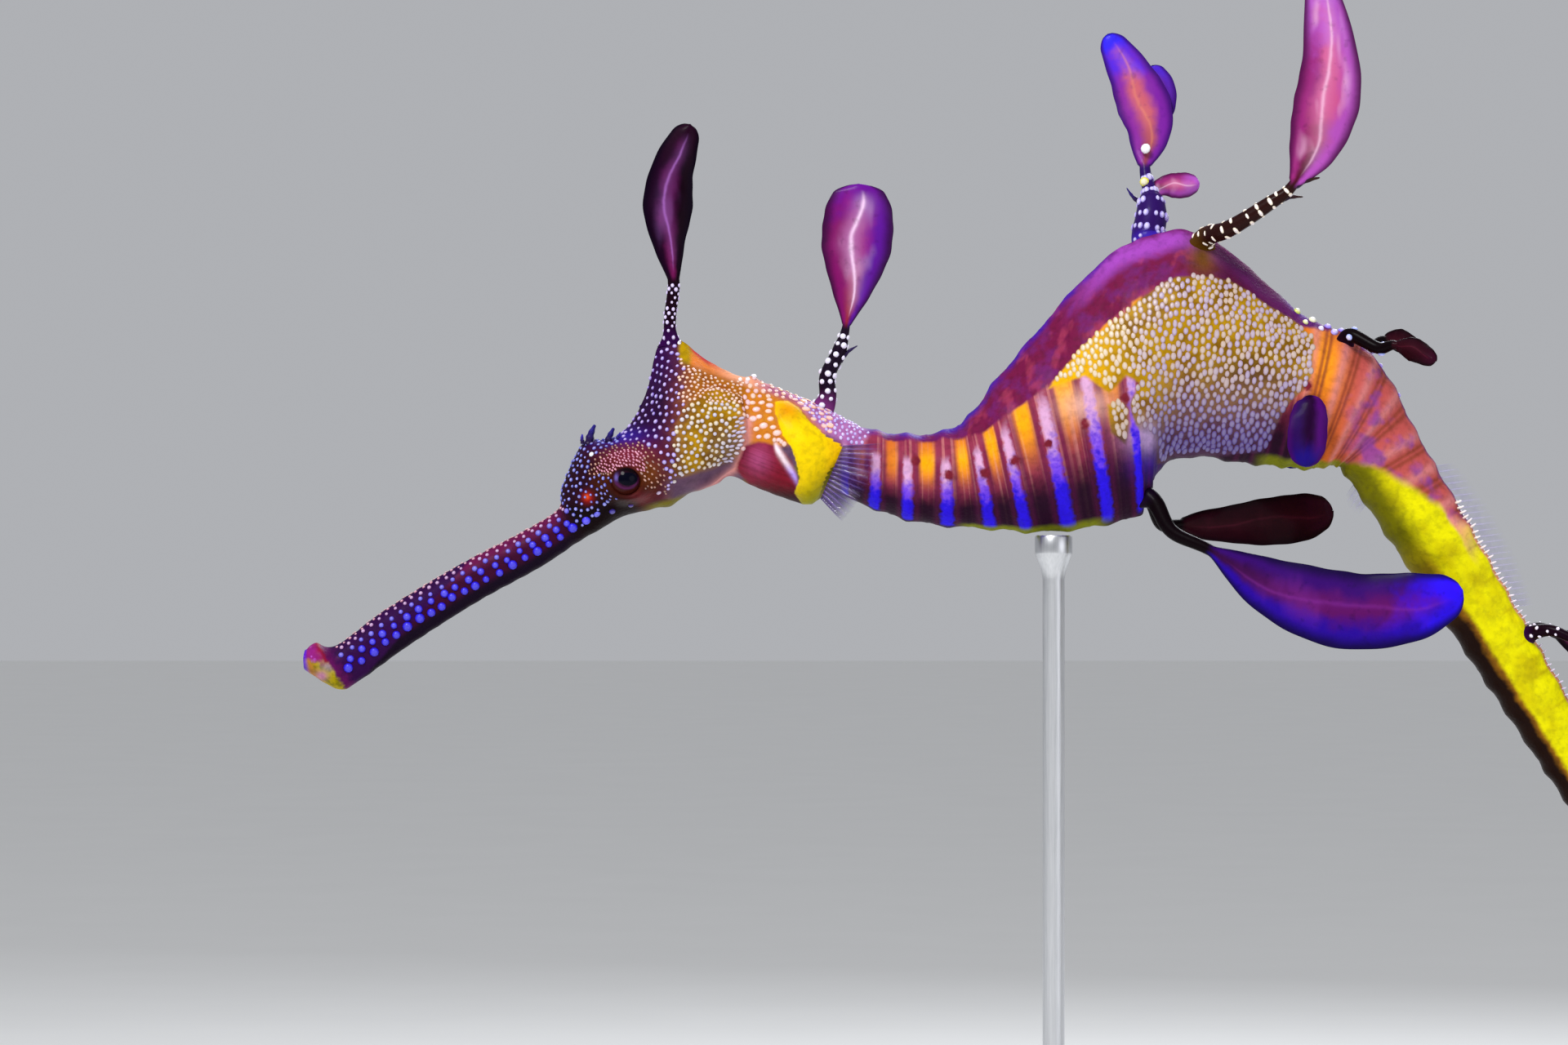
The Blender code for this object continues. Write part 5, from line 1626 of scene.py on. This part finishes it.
# --- fins ---
def fin_mesh(name, roots, edges, rays):
    """A thin fin between a row of roots and a row of edge points, ribbed along its rays."""
    t = np.linspace(0, 1, FIN_ROWS)[:, None, None]
    sheet = roots[None] * (1 - t) + edges[None] * t
    ray = np.linspace(0, rays, len(roots))
    rib = bell(ray - np.round(ray), 0.2)
    scallop = 1 + 0.03 * (rib - 0.5)
    sheet = roots[None] + (sheet - roots[None]) * scallop[None, :, None]
    thick = FIN_HALF * (0.45 + 0.9 * rib)[None, :] * (1 - 0.5 * t[..., 0])
    wave = 0.12 * np.sin(ray * 1.7)[None, :] * t[..., 0]
    lift = np.array([0, 1.0, 0])
    front = sheet + lift * (wave - thick)[..., None]
    back = sheet + lift * (wave + thick)[..., None]
    grid = np.concatenate([front, back[::-1]]).transpose(1, 0, 2)
    outs = np.concatenate([t[:, 0, 0], t[::-1, 0, 0]])
    ray_field, out_field = np.meshgrid(ray, outs, indexing="ij")
    return tube(name, grid, {"ray": ray_field, "out": out_field})


def build_breast_fins():
    finish = fin_finish("breast_fin", "2a1448", "7a5cb4", 0.5, 0.15)
    top, bottom = np.array(BREAST_FIN_TOP), np.array(BREAST_FIN_BOTTOM)
    t = np.linspace(0, 1, BREAST_FIN_COLUMNS)
    root = top + (bottom - top) * t[:, None]
    heading = np.radians(3 - 50 * t**1.1)
    length = 6.4 - 1.4 * t**2
    edge = root + np.stack([np.cos(heading), np.sin(heading)], axis=-1) * length[:, None]
    for side, label in SIDES:
        name = "fin_breast_" + label
        roots = np.insert(root, 1, side * BREAST_FIN_Y[0], axis=1)
        edges = np.insert(edge, 1, side * BREAST_FIN_Y[1], axis=1)
        mesh = fin_mesh(name, roots, edges, BREAST_FIN_RAYS)
        piece(name, mesh, finish, ("pectoral_fin_" + label,))


def build_tail_fins():
    finish = fin_finish("back_fin", "6a60c0", "d0caf4", 0.07, 0.22)
    for name, node, first, last, height, angle, rays in TAIL_FINS:
        roots, edges = [], []
        for s in np.linspace(0, 1, rays * 5):
            u = tail_station(first + (last - first) * s)
            here, out = body_spot(u, angle)
            rise = height * (0.45 + 0.55 * math.sin(math.pi * (0.15 + 0.75 * s)))
            roots.append(here - out * 0.3)
            edges.append(here + unit(out + trail_at(u, angle, 0.1) * 0.45) * rise)
        piece(name, fin_mesh(name, np.array(roots), np.array(edges), rays), finish, (node,))


# --- eyes ---
def build_eyes():
    finish = eye_finish()
    tilt = np.linspace(0, math.pi, EYE_ROWS)
    turn = full_turn(EYE_COLUMNS)
    swell = EYE_RADIUS + CORNEA_HEIGHT * bell(tilt, CORNEA_WIDTH)
    out = swell * np.cos(tilt)
    wide = np.maximum(swell * np.sin(tilt), 0.01)[:, None]
    for side, label in SIDES:
        name = "eyeball_" + label
        y = np.repeat((side * (EYE_Y + out))[:, None], EYE_COLUMNS, axis=1)
        grid = np.stack([wide * np.cos(turn)[None], y, wide * np.sin(turn)[None]], axis=-1)
        piece(name, tube(name, grid), finish, ("eye_" + label,))


# --- the stand ---
def stand_mesh(name, grid, low, high):
    """A mesh with crisp corners, over a grid in millimetres, in the middle of a box in metres."""
    middle = (low + high) / 2
    mesh = tube(name, grid + (np.array([middle.x, middle.y, 0]) - EYE) / MM)
    mesh.set_sharp_from_angle(angle=SHARP)
    return mesh


def build_board(finish):
    """The wooden base: a board with round corners and rounded edges."""
    low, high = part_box("stand_base")
    size = (high - low) / MM
    extent = np.array([size.x, size.y])
    outline = []
    for quarter, signs in enumerate(((1, -1), (1, 1), (-1, 1), (-1, -1))):
        for k in range(BOARD_CORNER_STEPS):
            a = math.radians(-90 + 90 * quarter + 6 * k)
            turned = np.array([math.cos(a), math.sin(a)]) * BOARD_CORNER
            outline.append(signs * (extent / 2 - BOARD_CORNER) + turned)
    steps = [
        (BOARD_BEVEL * (1 - math.sin(a)), BOARD_BEVEL * (1 - math.cos(a)))
        for a in np.linspace(0, math.pi / 2, BOARD_BEVEL_STEPS)
    ]
    inner = BOARD_BEVEL + BOARD_RIM
    rings = [(inner, 0), *steps, *((inset, size.z - up) for inset, up in steps[::-1]), (inner, size.z)]
    grid = []
    for inset, up in rings:
        scaled = np.array(outline) * (1 - 2 * inset / extent)
        grid.append(np.column_stack([scaled, np.full(len(outline), up)]))
    mesh = stand_mesh("stand_board", np.array(grid), low, high)
    piece("stand_board", mesh, finish, ("stand_base",))


def turned_mesh(name, profile, low, high):
    """A solid of revolution that stands in a box."""
    feet, upper = profile
    rows = [(r, low.z / MM) for r in feet] + [(r, high.z / MM - down) for r, down in upper]
    angle = full_turn(TURNED_SIDES)
    grid = np.array([[(r * math.cos(a), r * math.sin(a), h) for a in angle] for r, h in rows])
    return stand_mesh(name, grid, low, high)


def build_stand():
    wood, steel = wood_finish(), steel_finish()
    build_board(wood)
    low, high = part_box("stand_rod")
    piece("stand_post", turned_mesh("stand_post", POST, low, high), steel, ("stand_rod",))
    low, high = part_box("stand_collar")
    mesh = turned_mesh("stand_foot_ring", FOOT_RING, low, high)
    piece("stand_foot_ring", mesh, steel, ("stand_collar",))


# --- floor, light and camera ---
def area_light(name, place, size, power, colour):
    data = bpy.data.lights.new(name, "AREA")
    data.shape, data.size, data.energy, data.color = "DISK", size, power, colour
    lamp = linked(name, data)
    lamp.location = place
    lamp.rotation_euler = (Vector(LAMP_AIM) - Vector(place)).to_track_quat("-Z", "Y").to_euler()


def build_studio():
    mesh = bpy.data.meshes.new("floor")
    corners = [(sx * FLOOR_REACH, sy * FLOOR_REACH, 0) for sx, sy in ((-1, -1), (1, -1), (1, 1), (-1, 1))]
    mesh.from_pydata(corners, [], [(0, 1, 2, 3)])
    mesh.materials.append(floor_finish())
    floor = linked("floor", mesh)
    world = bpy.data.worlds.new("studio")
    world.use_nodes = True
    sky = world.node_tree.nodes["Background"].inputs
    sky[0].default_value, sky[1].default_value = SKY_COLOUR, SKY_STRENGTH
    bpy.context.scene.world = world
    for lamp in LAMPS:
        area_light(*lamp)
    data = bpy.data.cameras.new("camera")
    data.lens, data.sensor_width, data.clip_start = LENS, FILM_WIDTH, NEAREST_SEEN
    camera = linked("camera", data)
    camera.location = (EYE[0] + CAMERA_FROM_EYE[0], CAMERA_FROM_EYE[1], EYE[2] + CAMERA_FROM_EYE[2])
    camera.rotation_euler = (math.radians(90), 0, 0)
    bpy.context.scene.camera = camera
    bpy.context.scene.view_settings.view_transform = "Standard"


# --- the model ---
def main():
    points, fields = skin_grid()
    build_skin(points, fields)
    skin = Skin(points, fields)
    finishes = {name: leaf_finish(name) for name in LEAF_PAINTS}
    head_beads, body_beads = Beads(), Beads()
    skin_beads(skin, head_beads, body_beads)
    snout_beads(skin, head_beads)
    single_beads(skin, head_beads)
    edge_beads(skin, body_beads)
    back_and_belly_flaps(finishes, head_beads)
    vent_flaps(finishes)
    tail_flaps(finishes, body_beads)
    build_spines()
    tree = bead_tree()
    build_beads("beads_head", head_beads, tree, bead_finish("beads_with_painted_highlight", "2a0a28"))
    build_beads("beads_body", body_beads, tree, bead_finish("cream_spots", "7a5418"))
    build_breast_fins()
    build_tail_fins()
    build_eyes()
    build_stand()
    build_studio()


main()
